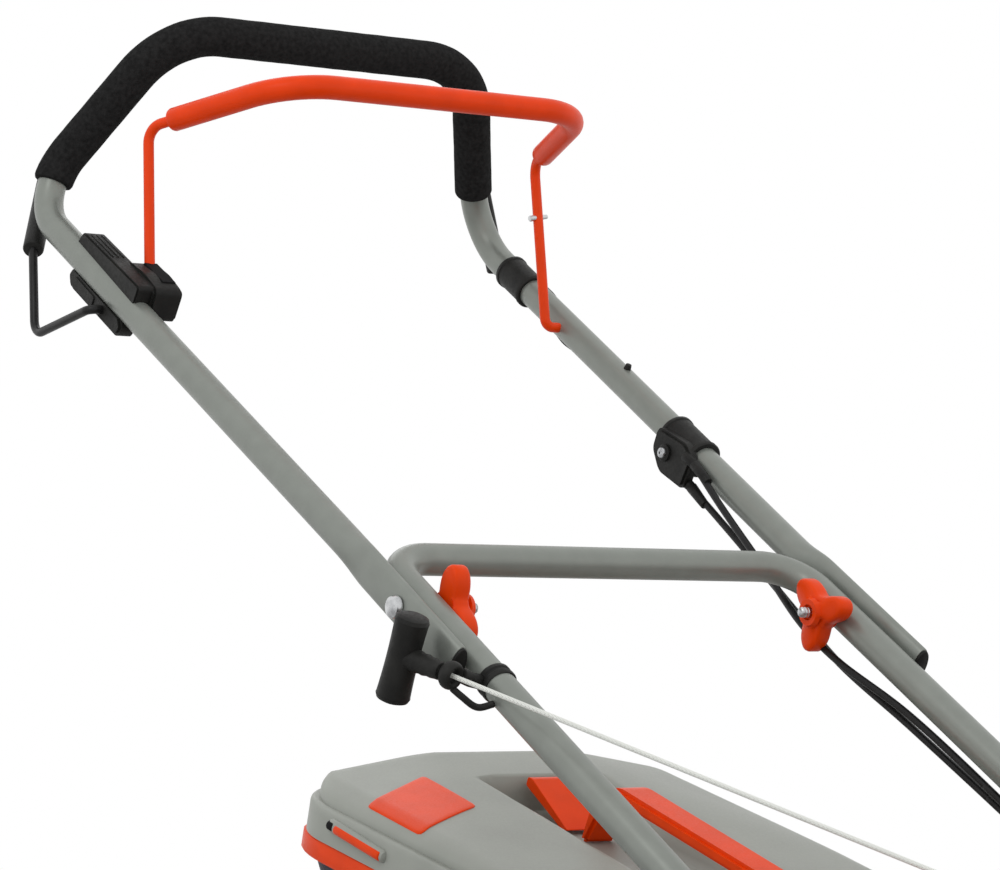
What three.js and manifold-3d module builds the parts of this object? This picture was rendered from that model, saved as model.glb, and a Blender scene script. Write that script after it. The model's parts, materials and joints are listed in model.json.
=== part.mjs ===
// Walk-behind petrol rotary lawn mower with a two-part folding handle, two operator bails,
// a recoil starter, height adjustment on all four wheels and a rear grass collector.
// Millimetres, +Z up, the front towards -Y, x = 0 on the centre plane and the ground at z = 0.
// "Right" is the operator's right, which is -X.
import * as THREE from "three";
import { mergeVertices } from "three/addons/utils/BufferGeometryUtils.js";
import Module from "manifold-3d";

const wasm = await Module();
wasm.setup();

// ---------------------------------------------------------------- driving dimensions

const GAP = 0.4; // clearance kept between neighbouring solids
const LEFT = 1;
const RIGHT = -1;
const SIDES = [LEFT, RIGHT];

const TUBE_R = 12.5; // both handles are bent from 25 mm tube
const TUBE_BORE_R = 10.3;
const FOLD = { y: 280, z: 520 }; // axis of the two bolts that join the handles
const LEG_TILT = THREE.MathUtils.degToRad(32.7);
const LEG_SPLAY = 0.022; // sideways spread of the upper legs for each millimetre along them
const UPPER_LEG_X = 218.6;
const LOWER_LEG_X = 201;
const LOWER_END_X = 199;
const PIVOT = { y: -164, z: 235 }; // where the lower handle turns on the deck

const GRIP_R = 17;
const BAIL_WIRE_R = 4.5;
const BAIL_GRIP_R = 10;
const DRIVE_WIRE_R = 3.8;
const DRIVE_GRIP_R = 9;
const CABLE_R = 3;
const ROPE_R = 1.8;

const DECK = { blade_y: -470, r: 275, half: 212, front: -879.75, rear: -165, low: 38, top: 128, wall: 2.5 };
const CHUTE = { half: 168, front: -330, top: 215, floor: 156 };
const REAR = { y: -190, z: 120, r: 120, inner: 232, outer: 280, rim: 86, pivot_y: -240, pivot_z: 138 };
const FRONT = { y: -750, z: 100, r: 100, inner: 225, outer: 275, rim: 70, pivot_y: -800, pivot_z: 118 };
const WHEEL_FACETS = 20;
const BLADE = { z: 62, length: 456, width: 52, thick: 4 };
const SLOPE = THREE.MathUtils.degToRad(15); // the collector's rim falls this much towards the front

// ---------------------------------------------------------------- materials

function paint(color, roughness, metalness = 0) {
  return new THREE.MeshStandardMaterial({ color, roughness, metalness });
}
const MATERIALS = {
  tube: paint(0x8c908a, 0.35, 0.6),
  foam: paint(0x292929, 0.95),
  orange: paint(0xe83400, 0.45),
  knob: paint(0xff5a00, 0.4),
  black: paint(0x262623, 0.6),
  steel: paint(0xb9bcbd, 0.3, 0.9),
  deck: paint(0xe04010, 0.4, 0.3),
  casting: paint(0x9a9c9c, 0.55, 0.8),
  lid: paint(0x9d9e98, 0.5),
  fabric: paint(0x1b1f29, 0.9),
  rubber: paint(0x1c1c1c, 0.9),
  rope: paint(0xe2e4df, 0.8),
};

// ---------------------------------------------------------------- solids

const V = (x, y, z) => new THREE.Vector3(x, y, z);
const X_AXIS = V(1, 0, 0);
const Y_AXIS = V(0, 1, 0);
const Z_AXIS = V(0, 0, 1);

// A closed geometry as a manifold solid with its faces outwards.
function solid(geometry) {
  const bare = geometry.clone();
  bare.deleteAttribute("normal");
  bare.deleteAttribute("uv");
  const merged = mergeVertices(bare, 1e-3);
  const source = merged.index.array;
  const vertProperties = merged.attributes.position.array;
  const build = (second, third) => {
    const triVerts = [];
    for (let i = 0; i < source.length; i += 3) {
      const corner = [source[i], source[i + second], source[i + third]];
      if (new Set(corner).size === 3) triVerts.push(...corner);
    }
    const mesh = new wasm.Mesh({ numProp: 3, vertProperties, triVerts: new Uint32Array(triVerts) });
    return new wasm.Manifold(mesh);
  };
  const made = build(1, 2);
  return made.volume() < 0 ? build(2, 1) : made;
}

const join = (first, ...others) => others.reduce((sum, next) => sum.add(next), first);
const cut = (first, ...others) => others.reduce((rest, next) => rest.subtract(next), first);

// Moves every vertex of a geometry by a rule of the caller.
function reshape(geometry, rule) {
  const place = geometry.attributes.position;
  const p = new THREE.Vector3();
  for (let i = 0; i < place.count; i++) {
    rule(p.fromBufferAttribute(place, i));
    place.setXYZ(i, p.x, p.y, p.z);
  }
  return geometry;
}

// An outline from corners [u, v, r]; r is how far the rounding reaches along both edges.
function outline(corners) {
  const at = (i) => new THREE.Vector2(...corners.at(i % corners.length).slice(0, 2));
  const shape = new THREE.Shape();
  corners.forEach(([u, v, r = 0], i) => {
    const here = new THREE.Vector2(u, v);
    const edges = [at(i - 1).sub(here), at(i + 1).sub(here)];
    const reach = Math.min(r, ...edges.map((edge) => 0.48 * edge.length()));
    const [entry, leave] = edges.map((edge) => here.clone().add(edge.setLength(reach)));
    if (i === 0) shape.moveTo(entry.x, entry.y);
    else shape.lineTo(entry.x, entry.y);
    if (r > 0) shape.quadraticCurveTo(u, v, leave.x, leave.y);
  });
  return shape;
}

const rectangle = (u0, u1, v0, v1, r = 0) => [
  [u0, v0, r],
  [u1, v0, r],
  [u1, v1, r],
  [u0, v1, r],
];

// The world directions of an outline's u, its v and the way it is extruded.
const PLANES = {
  xy: new THREE.Matrix4().makeBasis(X_AXIS, Y_AXIS, Z_AXIS),
  yz: new THREE.Matrix4().makeBasis(Y_AXIS, Z_AXIS, X_AXIS),
  zx: new THREE.Matrix4().makeBasis(Z_AXIS, X_AXIS, Y_AXIS),
};

// An outline in one plane, extruded from low to high along that plane's normal.
function slabGeometry(plane, corners, low, high, bevel = 0) {
  const geometry = new THREE.ExtrudeGeometry(outline(corners), {
    depth: high - low - 2 * bevel,
    curveSegments: 3,
    bevelEnabled: bevel > 0,
    bevelThickness: bevel,
    bevelSize: bevel,
    bevelOffset: -bevel,
    bevelSegments: 1,
  });
  geometry.translate(0, 0, low + bevel);
  return geometry.applyMatrix4(PLANES[plane]);
}
const slab = (...args) => solid(slabGeometry(...args));

const box = (x0, x1, y0, y1, z0, z1, bevel = 0) => slab("xy", rectangle(x0, x1, y0, y1), z0, z1, bevel);

// A round bar from one point to another, with another radius at its far end if given.
function rod(from, to, r, sides = 14, farR = r) {
  const along = to.clone().sub(from);
  const geometry = new THREE.CylinderGeometry(farR, r, along.length(), sides);
  geometry.applyQuaternion(new THREE.Quaternion().setFromUnitVectors(Y_AXIS, along.clone().normalize()));
  geometry.translate(...from.clone().add(to).multiplyScalar(0.5).toArray());
  return solid(geometry);
}
const pin = (x0, x1, y, z, r, sides = 14) => rod(V(x0, y, z), V(x1, y, z), r, sides);
const post = (x, y, z0, z1, r, sides = 20, farR = r) => rod(V(x, y, z0), V(x, y, z1), r, sides, farR);

// A profile of [radius, distance along the axis] turned about an axis through a centre.
function turned(profile, axis, centre, segments, phase = 0) {
  const points = profile.map(([r, along]) => new THREE.Vector2(r, along));
  const geometry = new THREE.LatheGeometry(points, segments, phase);
  geometry.applyQuaternion(new THREE.Quaternion().setFromUnitVectors(Y_AXIS, axis));
  geometry.translate(centre.x, centre.y, centre.z);
  return solid(geometry);
}

// ---------------------------------------------------------------- routes for tube and wire

// Straight runs joined by arcs. Corners are [point, radius]; radius 0 marks a station on the way.
function route(corners, arcSteps = 4) {
  const points = corners.map(([point]) => point);
  const heading = (i) => points[i + 1].clone().sub(points[i]).normalize();
  return corners.flatMap(([point, radius], i) => {
    const last = i === points.length - 1;
    if (i === 0 || last) return [{ point, tangent: heading(last ? i - 1 : i) }];
    const before = heading(i - 1);
    const after = heading(i);
    if (radius === 0) return [{ point, tangent: before.clone().add(after).normalize() }];
    const turn = before.angleTo(after);
    const inward = after.clone().sub(before).normalize();
    const centre = point.clone().addScaledVector(inward, radius / Math.cos(turn / 2));
    const spoke = point.clone().addScaledVector(before, -radius * Math.tan(turn / 2)).sub(centre);
    return Array.from({ length: arcSteps + 1 }, (_, step) => {
      const angle = (turn * step) / arcSteps;
      const arm = spoke.clone().multiplyScalar(Math.cos(angle));
      arm.addScaledVector(before, radius * Math.sin(angle));
      const tangent = before.clone().multiplyScalar(Math.cos(angle));
      tangent.addScaledVector(spoke, -Math.sin(angle) / radius);
      return { point: centre.clone().add(arm), tangent };
    });
  });
}

// A smooth route through points chosen by hand, for a cable.
function softRoute(points, steps) {
  const curve = new THREE.CatmullRomCurve3(points, false, "centripetal");
  return Array.from({ length: steps + 1 }, (_, i) => ({
    point: curve.getPointAt(i / steps),
    tangent: curve.getTangentAt(i / steps),
  }));
}

// The stations of a route as a curve that an ExtrudeGeometry can follow exactly.
class StationCurve extends THREE.Curve {
  constructor(stations) {
    super();
    this.stations = stations;
  }
  station(t) {
    return this.stations[Math.round(t * (this.stations.length - 1))];
  }
  getPoint(t) {
    return this.station(t).point.clone();
  }
  getTangentAt(t) {
    return this.station(t).tangent.clone();
  }
  getSpacedPoints() {
    return this.stations.map(({ point }) => point.clone());
  }
}

function tubeGeometry(stations, r, sides) {
  const ring = Array.from({ length: sides }, (_, i) => {
    const angle = (2 * Math.PI * (i + 0.5)) / sides;
    return new THREE.Vector2(r * Math.cos(angle), r * Math.sin(angle));
  });
  return new THREE.ExtrudeGeometry(new THREE.Shape(ring), {
    steps: stations.length - 1,
    extrudePath: new StationCurve(stations),
  });
}
const tube = (stations, r, sides = 12) => solid(tubeGeometry(stations, r, sides));

// A sleeve: outside radius r, with a bore that clears a bar of radius barR.
function sleeve(stations, r, barR, sides = 10) {
  const longer = stations.map(({ point, tangent }, i) => {
    const reach = i === 0 ? -1 : Number(i === stations.length - 1);
    return { point: point.clone().addScaledVector(tangent, reach), tangent };
  });
  return cut(tube(stations, r, sides), tube(longer, (barR + GAP) / Math.cos(Math.PI / sides), sides));
}

// ---------------------------------------------------------------- the scene graph

const mower = new THREE.Group();

// A part of the mower that is drawn level in its own frame and then tilted about X.
function tiltedGroup(y, z, tilt) {
  const group = new THREE.Group();
  group.position.set(0, y, z);
  group.rotation.x = tilt;
  mower.add(group);
  return group;
}

// Adds a solid as one named mesh of a group.
function add(name, made, material, group = mower) {
  const { numProp, vertProperties, triVerts } = made.getMesh();
  const geometry = new THREE.BufferGeometry();
  const positions = new Float32Array((vertProperties.length / numProp) * 3);
  for (let i = 0; i < positions.length / 3; i++) {
    positions.set(vertProperties.subarray(i * numProp, i * numProp + 3), i * 3);
  }
  geometry.setAttribute("position", new THREE.BufferAttribute(positions, 3));
  geometry.setIndex(new THREE.BufferAttribute(triVerts, 1));
  geometry.computeVertexNormals();
  const mesh = new THREE.Mesh(geometry, material);
  mesh.name = name;
  group.add(mesh);
}
const sideName = (side) => (side === LEFT ? "left" : "right");
const between = (side, a, b) => [Math.min(side * a, side * b), Math.max(side * a, side * b)];

// ---------------------------------------------------------------- upper handle

const LEG_DIRECTION = V(0, Math.cos(LEG_TILT), Math.sin(LEG_TILT));
const LEG_UP = V(0, -Math.sin(LEG_TILT), Math.cos(LEG_TILT)); // square to a leg, towards its upper side

// A point beside a leg: s along it from the fold, up from its centre line, out from the centre plane.
function legPoint(side, s, x, up = 0) {
  const point = V(side * x, FOLD.y, FOLD.z);
  return point.addScaledVector(LEG_DIRECTION, s).addScaledVector(LEG_UP, up);
}
const upperX = (s) => UPPER_LEG_X + LEG_SPLAY * s;
const onUpper = (side, s, out = 0, up = 0) => legPoint(side, s, upperX(s) + out, up);
const fromFold = (x, y, z) => V(x, FOLD.y + y, FOLD.z + z);

const UPPER_END_S = -80;
const FLAT_TO_S = 55; // the pressed end of each upper leg runs to here
const ROUND_FROM_S = 95;
const FLAT_X = 222;
const BEND_S = 661;
const BAIL_PIVOT_S = 480; // the axis of the engine brake bail
const TOP_CORNER = { x: 155, y: 452, z: 496 };

const topCorner = (side) => fromFold(side * TOP_CORNER.x, TOP_CORNER.y, TOP_CORNER.z);
function upperRoute(endS) {
  const half = (side) => [
    [onUpper(side, endS), 0],
    [onUpper(side, FLAT_TO_S), 0],
    [onUpper(side, ROUND_FROM_S), 0],
    [onUpper(side, BEND_S), 50],
    [topCorner(side), 75],
  ];
  return route([...half(RIGHT), ...half(LEFT).reverse()]);
}

// Presses the lower ends of the upper legs flat, where the fold bolts pass through.
function pressEnds(point) {
  const s = (point.y - FOLD.y) * LEG_DIRECTION.y + (point.z - FOLD.z) * LEG_DIRECTION.z;
  if (s >= ROUND_FROM_S) return;
  const side = Math.sign(point.x);
  const roundness = THREE.MathUtils.clamp((s - FLAT_TO_S) / (ROUND_FROM_S - FLAT_TO_S), 0, 1);
  const centre = THREE.MathUtils.lerp(FLAT_X, upperX(s), roundness);
  const up = (point.y - FOLD.y) * LEG_UP.y + (point.z - FOLD.z) * LEG_UP.z;
  point.x = side * (centre + (side * point.x - upperX(s)) * THREE.MathUtils.lerp(0.56, 1, roundness));
  point.addScaledVector(LEG_UP, up * (THREE.MathUtils.lerp(1.3, 1, roundness) - 1));
}

function upperHandleTube() {
  const outside = solid(reshape(tubeGeometry(upperRoute(UPPER_END_S), TUBE_R, 14), pressEnds));
  const bore = solid(reshape(tubeGeometry(upperRoute(UPPER_END_S - 2), TUBE_BORE_R, 6), pressEnds));
  const foldHole = pin(-240, 240, FOLD.y, FOLD.z, 4.9);
  const bailHoles = SIDES.map((side) => {
    return rod(onUpper(side, BAIL_PIVOT_S, -20), onUpper(side, BAIL_PIVOT_S, 0), BAIL_WIRE_R + 0.8);
  });
  return cut(outside, bore, foldHole, ...bailHoles);
}

function foamGrip() {
  const stations = upperRoute(UPPER_END_S);
  const first = 3 + 3; // the leg's first three stations, then three of the five on the bend
  const covered = stations.slice(first, stations.length - first);
  return sleeve(covered, GRIP_R, TUBE_R / Math.cos(Math.PI / 14));
}

// A block beside a leg, outlined along and square to the leg, between two distances from x = 0.
function legBlock(side, corners, x0, x1, bevel = 1.5) {
  const [low, high] = side === LEFT ? [x0, x1] : [-x1, -x0];
  const geometry = slabGeometry("yz", corners, low, high, bevel);
  geometry.rotateX(LEG_TILT);
  geometry.translate(0, FOLD.y, FOLD.z);
  return solid(geometry);
}

const legBore = (side, s0, s1, r) => rod(onUpper(side, s0 - 5), onUpper(side, s1 + 5), r, 16);

// The engine brake's housing on the right leg: a long cap over the tube and a block on its inner side,
// slotted for the wire of the bail.
function controlHousing() {
  const cap = legBlock(RIGHT, [[452, 7, 3], [564, 8, 3], [560, 22, 6], [505, 24, 4], [452, 26, 5]], 216, 236);
  const inner = legBlock(RIGHT, [
    [448, -2, 4],
    [466, -8, 5],
    [490, -8, 5],
    [504, 8, 5],
    [504, 25, 8],
    [474, 28, 5],
    [448, 26, 7],
  ], 194, 222);
  const slot = legBlock(RIGHT, [[461, -5, 4], [500, -5, 2], [560, 60, 0], [445, 60, 0]], 196.5, 209.5, 0);
  const pivotHole = rod(onUpper(RIGHT, BAIL_PIVOT_S, -26), onUpper(RIGHT, BAIL_PIVOT_S, 0), BAIL_WIRE_R + 0.8);
  const bore = legBore(RIGHT, 430, 570, TUBE_R + 0.8);
  return cut(join(cap, inner), slot, pivotHole, bore);
}

const DRIVE_PIVOT = { y: 420.7, z: 251.7 }; // the drive bail's axis, counted from the fold

function driveCableHousing() {
  const body = legBlock(RIGHT, [
    [458, -24, 5],
    [548, -25, 4],
    [556, -16, 4],
    [552, -7, 3],
    [462, -7, 3],
    [454, -14, 4],
  ], 223, 240);
  const pivot = fromFold(-248, DRIVE_PIVOT.y, DRIVE_PIVOT.z);
  const hole = rod(pivot, pivot.clone().setX(-226), DRIVE_WIRE_R + 0.8);
  return cut(body, hole, legBore(RIGHT, 430, 570, TUBE_R + 0.8));
}

// The band on the left leg with the ear that holds the other end of the drive bail.
function driveBailBracket() {
  const band = rod(onUpper(LEFT, 540), onUpper(LEFT, 600), TUBE_R + 4.5, 20);
  const ear = legBlock(LEFT, [
    [480, -24, 6],
    [500, -26, 6],
    [598, -12, 4],
    [598, 4, 4],
    [542, 4, 4],
    [480, -9, 5],
  ], 240, 252);
  const pivot = fromFold(230, DRIVE_PIVOT.y, DRIVE_PIVOT.z);
  const hole = rod(pivot, pivot.clone().setX(260), DRIVE_WIRE_R + 0.8);
  return cut(join(band, ear), hole, legBore(LEFT, 480, 610, TUBE_R + 0.8));
}

function cableClamp() {
  const band = rod(onUpper(LEFT, 244), onUpper(LEFT, 292), TUBE_R + 4.5, 20);
  const boss = legBlock(LEFT, [
    [236, -24, 5],
    [272, -27, 5],
    [290, -14, 6],
    [292, 6, 6],
    [250, 12, 6],
    [236, 3, 4],
  ], 203, 216, 2);
  return cut(join(band, boss), legBore(LEFT, 230, 305, TUBE_R + 0.8));
}

// ---------------------------------------------------------------- the two bails

const BRAKE_TOP = { x: 199, y: 415, z: 406 };
const BRAKE_CORNER = { x: 148, y: 273, z: 430 };

function brakeBailRoute() {
  const half = (side) => {
    const pivot = onUpper(side, BAIL_PIVOT_S, -26);
    const top = fromFold(side * BRAKE_TOP.x, BRAKE_TOP.y, BRAKE_TOP.z);
    const corner = fromFold(side * BRAKE_CORNER.x, BRAKE_CORNER.y, BRAKE_CORNER.z);
    const gripEnd = top.clone().add(corner.clone().sub(top).setLength(26));
    return [[onUpper(side, BAIL_PIVOT_S, -6), 0], [pivot, 8], [top, 15], [gripEnd, 0], [corner, 62]];
  };
  return route([...half(RIGHT), ...half(LEFT).reverse()]);
}

function brakeBail() {
  const stations = brakeBailRoute();
  const gripFrom = 1 + 2 * 5; // the foot, then the arcs at the pivot and at the top
  const grip = stations.slice(gripFrom, stations.length - gripFrom);
  add("engine_brake_bail", tube(stations, BAIL_WIRE_R, 8), MATERIALS.orange);
  const cover = sleeve(grip, BAIL_GRIP_R, BAIL_WIRE_R / Math.cos(Math.PI / 8));
  add("engine_brake_bail_grip", cover, MATERIALS.orange);
}

function driveBail() {
  const at = ([x, y, z]) => fromFold(x, y, z);
  const { y, z } = DRIVE_PIVOT;
  const stations = route([
    [at([-235, y, z]), 0],
    [at([-251, y, z]), 7],
    [at([-248, 519, 237]), 14],
    [at([-242, 534, 311]), 0],
    [at([-189, 600, 395]), 50],
    [at([-123, 528, 508]), 60],
    [at([195, 533, 508]), 60],
    [at([264, 564, 326]), 0],
    [at([265, y, z]), 7],
    [at([244, y, z]), 0],
  ], 3);
  const bendStations = 4;
  const gripFrom = 1 + 2 * bendStations; // after the foot and the two bends of the near wire
  const gripTo = stations.length - 1 - bendStations; // up to the station above the far wire
  const grip = stations.slice(gripFrom, gripTo);
  add("drive_bail", tube(stations, DRIVE_WIRE_R, 8), MATERIALS.black);
  add("drive_bail_grip", sleeve(grip, DRIVE_GRIP_R, DRIVE_WIRE_R / Math.cos(Math.PI / 8)), MATERIALS.black);
}

function upperHandle() {
  add("upper_handle_tube", upperHandleTube(), MATERIALS.tube);
  add("foam_grip", foamGrip(), MATERIALS.foam);
  add("control_housing", controlHousing(), MATERIALS.black);
  add("drive_cable_housing", driveCableHousing(), MATERIALS.black);
  add("drive_bail_bracket", driveBailBracket(), MATERIALS.black);
  add("cable_clamp", cableClamp(), MATERIALS.black);
  brakeBail();
  driveBail();
}

// ---------------------------------------------------------------- lower handle

const CROSSBAR_S = 70;
const LOWER_END_S = -550;
const PIVOT_S = -527;

function lowerRoute(extra = 0) {
  const half = (side) => [
    [legPoint(side, LOWER_END_S - extra, LOWER_END_X), 0],
    [legPoint(side, CROSSBAR_S, LOWER_LEG_X), 38],
  ];
  return route([...half(RIGHT), ...half(LEFT).reverse()]);
}

function lowerHandleTube() {
  const holes = [FOLD, PIVOT].map(({ y, z }) => pin(-240, 240, y, z, 4.9));
  return cut(tube(lowerRoute(), TUBE_R, 14), tube(lowerRoute(2), TUBE_BORE_R, 6), ...holes);
}

// A carriage bolt through both legs; its thread end sticks out of the knob.
function handleBolt(side) {
  const { y, z } = FOLD;
  return join(pin(side * 158, side * 232, y, z, 4, 12), pin(side * 229.5, side * 233.5, y, z, 9, 16));
}

const KNOB = { inner: 165, thick_to: 180, outer: 187.5, r: 33 };

// A three-lobed clamping knob; the first lobe points away from the front by the given angle.
function handleKnob(side, firstLobe) {
  const lobes = [0, 1, 2].map((i) => {
    const angle = THREE.MathUtils.degToRad(firstLobe + 120 * i);
    const tip = V(0, -Math.cos(angle), Math.sin(angle)).multiplyScalar(KNOB.r);
    const across = V(0, tip.z, -tip.y).normalize();
    const corner = (reach, half) => {
      const p = tip.clone().multiplyScalar(reach).addScaledVector(across, half);
      return [FOLD.y + p.y, FOLD.z + p.z, reach === 1 ? 3 : 0];
    };
    const outlineOfLobe = [corner(0, -9), corner(1, -7), corner(1, 7), corner(0, 9)];
    return slab("yz", outlineOfLobe, ...between(side, KNOB.inner, KNOB.thick_to), 2);
  });
  const { y, z } = FOLD;
  const hub = rod(V(side * KNOB.outer, y, z), V(side * (KNOB.inner - 1), y, z), 13, 18, 11);
  const hole = pin(side * 155, side * 190, y, z, 4.7, 12);
  return cut(join(hub, ...lobes), hole);
}

// ---------------------------------------------------------------- starter rope and cables

const ROPE_OUTLET = V(-75, -388, 280);
const ROPE_GUIDE = V(-240, 194, 470);
const PULL = ROPE_GUIDE.clone().sub(ROPE_OUTLET).normalize();
const alongRope = (distance) => ROPE_GUIDE.clone().addScaledVector(PULL, distance);

// A clamp on the right leg with a round eye that the rope runs through.
function ropeGuide() {
  const onLeg = (s) => legPoint(RIGHT, s, 200.3);
  const band = rod(onLeg(-112), onLeg(-96), TUBE_R + 2.5, 18);
  const eye = turned([[4, -5], [11, -5], [13, 0], [11, 5], [4, 5], [3, 0], [4, -5]], PULL, ROPE_GUIDE, 16);
  const arm = rod(V(-208, 196, 466), V(-231, 194, 470), 6, 10);
  const tail = rod(onLeg(-100).add(V(-10, -5, -12)), onLeg(-128).add(V(-13, -6, -16)), 4, 8, 3);
  return cut(join(band, arm, eye, tail), rod(onLeg(-150), onLeg(-60), TUBE_R + 0.8, 16));
}

function starterGrip() {
  const bar = rod(V(-252, 224, 513), V(-252, 252, 452), 12.5, 12, 13);
  const stem = rod(alongRope(52), alongRope(9), 9, 12, 7);
  const bore = rod(alongRope(70), alongRope(0), ROPE_R + 1, 8);
  return cut(join(bar, stem), bore);
}

const starterRope = () => tube(route([[ROPE_OUTLET, 0], [alongRope(-300), 0], [alongRope(60), 0]]), ROPE_R, 8);

// Both cables leave the clamp on the left leg; the engine stop cable stays closer to the leg.
function cables() {
  const beside = (s, x, up) => legPoint(LEFT, s, x, up);
  const engineStop = [
    beside(234.5, 206, 2),
    beside(180, 203, -8),
    beside(100, 198, -19),
    beside(20, 186, -25),
    beside(-30, 186, -26),
    beside(-120, 193, -20),
    beside(-320, 194, -19),
    beside(-440, 183, -14),
    V(176, -190, 252),
    V(120, -300, 238),
    V(84, -352, 226),
  ];
  const drive = [
    beside(234.5, 212, -20),
    beside(150, 212, -27),
    beside(60, 206, -32),
    beside(-20, 200, -35),
    beside(-120, 200, -31),
    beside(-300, 201, -28),
    beside(-440, 196, -27),
    V(186, -140, 220),
    V(182, -160, 186),
    V(172, -160, 150),
    V(150, -160, 120),
    V(90, -159, 104),
    V(54, -159, 101),
    V(42, -172, 100),
    V(40, -190, 100),
  ];
  add("engine_stop_cable", tube(softRoute(engineStop, 30), CABLE_R, 8), MATERIALS.black);
  add("drive_cable", tube(softRoute(drive, 36), CABLE_R, 8), MATERIALS.black);
}

function lowerHandle() {
  add("lower_handle_tube", lowerHandleTube(), MATERIALS.tube);
  for (const side of SIDES) {
    add(`handle_bolt_${sideName(side)}`, handleBolt(side), MATERIALS.steel);
    add(`handle_knob_${sideName(side)}`, handleKnob(side, side === LEFT ? 8 : 75), MATERIALS.knob);
  }
  add("rope_guide", ropeGuide(), MATERIALS.black);
  add("starter_grip", starterGrip(), MATERIALS.black);
  add("starter_rope", starterRope(), MATERIALS.rope);
  cables();
}

// ---------------------------------------------------------------- deck

const plan = (grow) => {
  const half = DECK.half - grow;
  return rectangle(-half, half, DECK.front + grow, DECK.rear - grow, 40);
};

function deckShell() {
  const high = DECK.top - DECK.wall;
  const bowl = post(0, DECK.blade_y, DECK.low, DECK.top - 12, DECK.r, 36);
  const crown = post(0, DECK.blade_y, DECK.top - 12, DECK.top, DECK.r, 36, DECK.r - 14);
  const frame = slab("xy", plan(0), DECK.low, DECK.top, 0);
  const { half, front, top } = CHUTE;
  const hump = slab("yz", [[front, 110], [DECK.rear, 110], [DECK.rear, top], [front + 30, top, 14]], -half, half);
  const rearBosses = pin(-219, 219, REAR.pivot_y, REAR.pivot_z, 16, 18);
  const outside = join(bowl, crown, frame, hump, rearBosses);

  const bend = DECK.top - 16; // the crown starts to round over here, seen from inside
  const inner = DECK.r - DECK.wall - 1;
  const chamber = post(0, DECK.blade_y, 0, bend, inner, 36);
  const bladeRoom = join(chamber, post(0, DECK.blade_y, bend, high, inner, 36, inner - 14));
  const shelf = 88; // the rear wall of the chamber steps back under here, to clear the blade's tip
  const behind = join(box(-300, 300, -262, 0, shelf, 300), box(-300, 300, -237, 0, 0, shelf));
  const noseRoom = slab("xy", rectangle(-208, 208, DECK.front + 4, -560, 36), 0, high);
  const tailRoom = join(
    box(-208, 208, -258, DECK.rear - 4, shelf + DECK.wall, high),
    box(-208, 208, -233, DECK.rear - 4, 0, shelf + 5),
  );
  const throat = slab("yz", [
    [front + 6, 60],
    [front + 6, DECK.top - 18],
    [front + 34, top - 6],
    [DECK.rear + 10, top - 6],
    [DECK.rear + 10, CHUTE.floor],
    [-262, CHUTE.floor],
    [-262, 60],
  ], -half + 6, half - 6);
  const underFloor = box(-half + 6, half - 6, -258, DECK.rear - 6, shelf + DECK.wall, CHUTE.floor - 6);
  const shaftHole = pin(-240, 240, REAR.pivot_y, REAR.pivot_z, 10.2, 18);
  const frontHole = pin(-240, 240, FRONT.pivot_y, FRONT.pivot_z, 7.2, 16);
  const crankHole = post(0, DECK.blade_y, 100, 140, 30, 20);
  const cableHole = rod(V(46, -185, 100), V(46, -150, 100), 14, 10);
  const rooms = [cut(bladeRoom, behind), noseRoom, tailRoom, throat, underFloor];
  return cut(outside, ...rooms, shaftHole, frontHole, crankHole, cableHole);
}

function handleBracket(side) {
  const { y, z } = PIVOT;
  const plate = slab("yz", [
    [-198, 66, 8],
    [-146, 66, 8],
    [-142, 180, 10],
    [y + 19, z, 8],
    [y + 10, z + 19, 9],
    [y - 12, z + 19, 9],
    [y - 19, z, 8],
    [-192, 160, 10],
  ], ...between(side, 212.4, 216.2));
  return cut(plate, pin(-240, 240, y, z, 4.9));
}

function pivotBolt(side) {
  const { y, z } = PIVOT;
  const head = pin(side * 216.6, side * 221, y, z, 9, 16);
  const nut = pin(side * 180, side * 185.5, y, z, 8, 6);
  return join(pin(side * 182, side * 219, y, z, 4, 12), head, nut);
}

const HINGE = { y: -160, z: 222 };

function flapHinge() {
  return pin(-166, 166, HINGE.y, HINGE.z, 3.5, 10);
}

const FLAP_TILT = THREE.MathUtils.degToRad(10);

// The flap lies back over the front of the collector. Its own frame is at the hinge, level.
function dischargeFlap() {
  const plate = box(-150, 150, 0, 62, -2.5, 2.5);
  const ribs = [-100, 0, 100].map((x) => box(x - 3, x + 3, 8, 60, 2, 7));
  const knuckles = [-130, -60, 60, 130].map((x) => pin(x - 14, x + 14, 0, 0, 7.5, 12));
  const gaps = [-95, 0, 95].map((x) => box(x - 18, x + 18, -10, 6, -10, 1.5));
  return cut(join(plate, ...ribs, ...knuckles), ...gaps, pin(-170, 170, 0, 0, 4.4, 12));
}

function deck() {
  add("deck_shell", deckShell(), MATERIALS.deck);
  for (const side of SIDES) {
    add(`handle_bracket_${sideName(side)}`, handleBracket(side), MATERIALS.black);
    add(`pivot_bolt_${sideName(side)}`, pivotBolt(side), MATERIALS.steel);
  }
  add("flap_hinge_rod", flapHinge(), MATERIALS.steel);
  add("discharge_flap", dischargeFlap(), MATERIALS.black, tiltedGroup(HINGE.y, HINGE.z, FLAP_TILT));
}

// ---------------------------------------------------------------- engine and blade

const CRANK_R = 12.5;
const HOUSING_Z = 262;

function crankcase() {
  const foot = post(0, DECK.blade_y, DECK.top + GAP, 142, 84, 24);
  const body = slab("xy", rectangle(-72, 72, -548, -396, 22), 140, 212, 3);
  return cut(join(foot, body), post(0, DECK.blade_y, 100, 204, CRANK_R + 1, 20));
}

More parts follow.
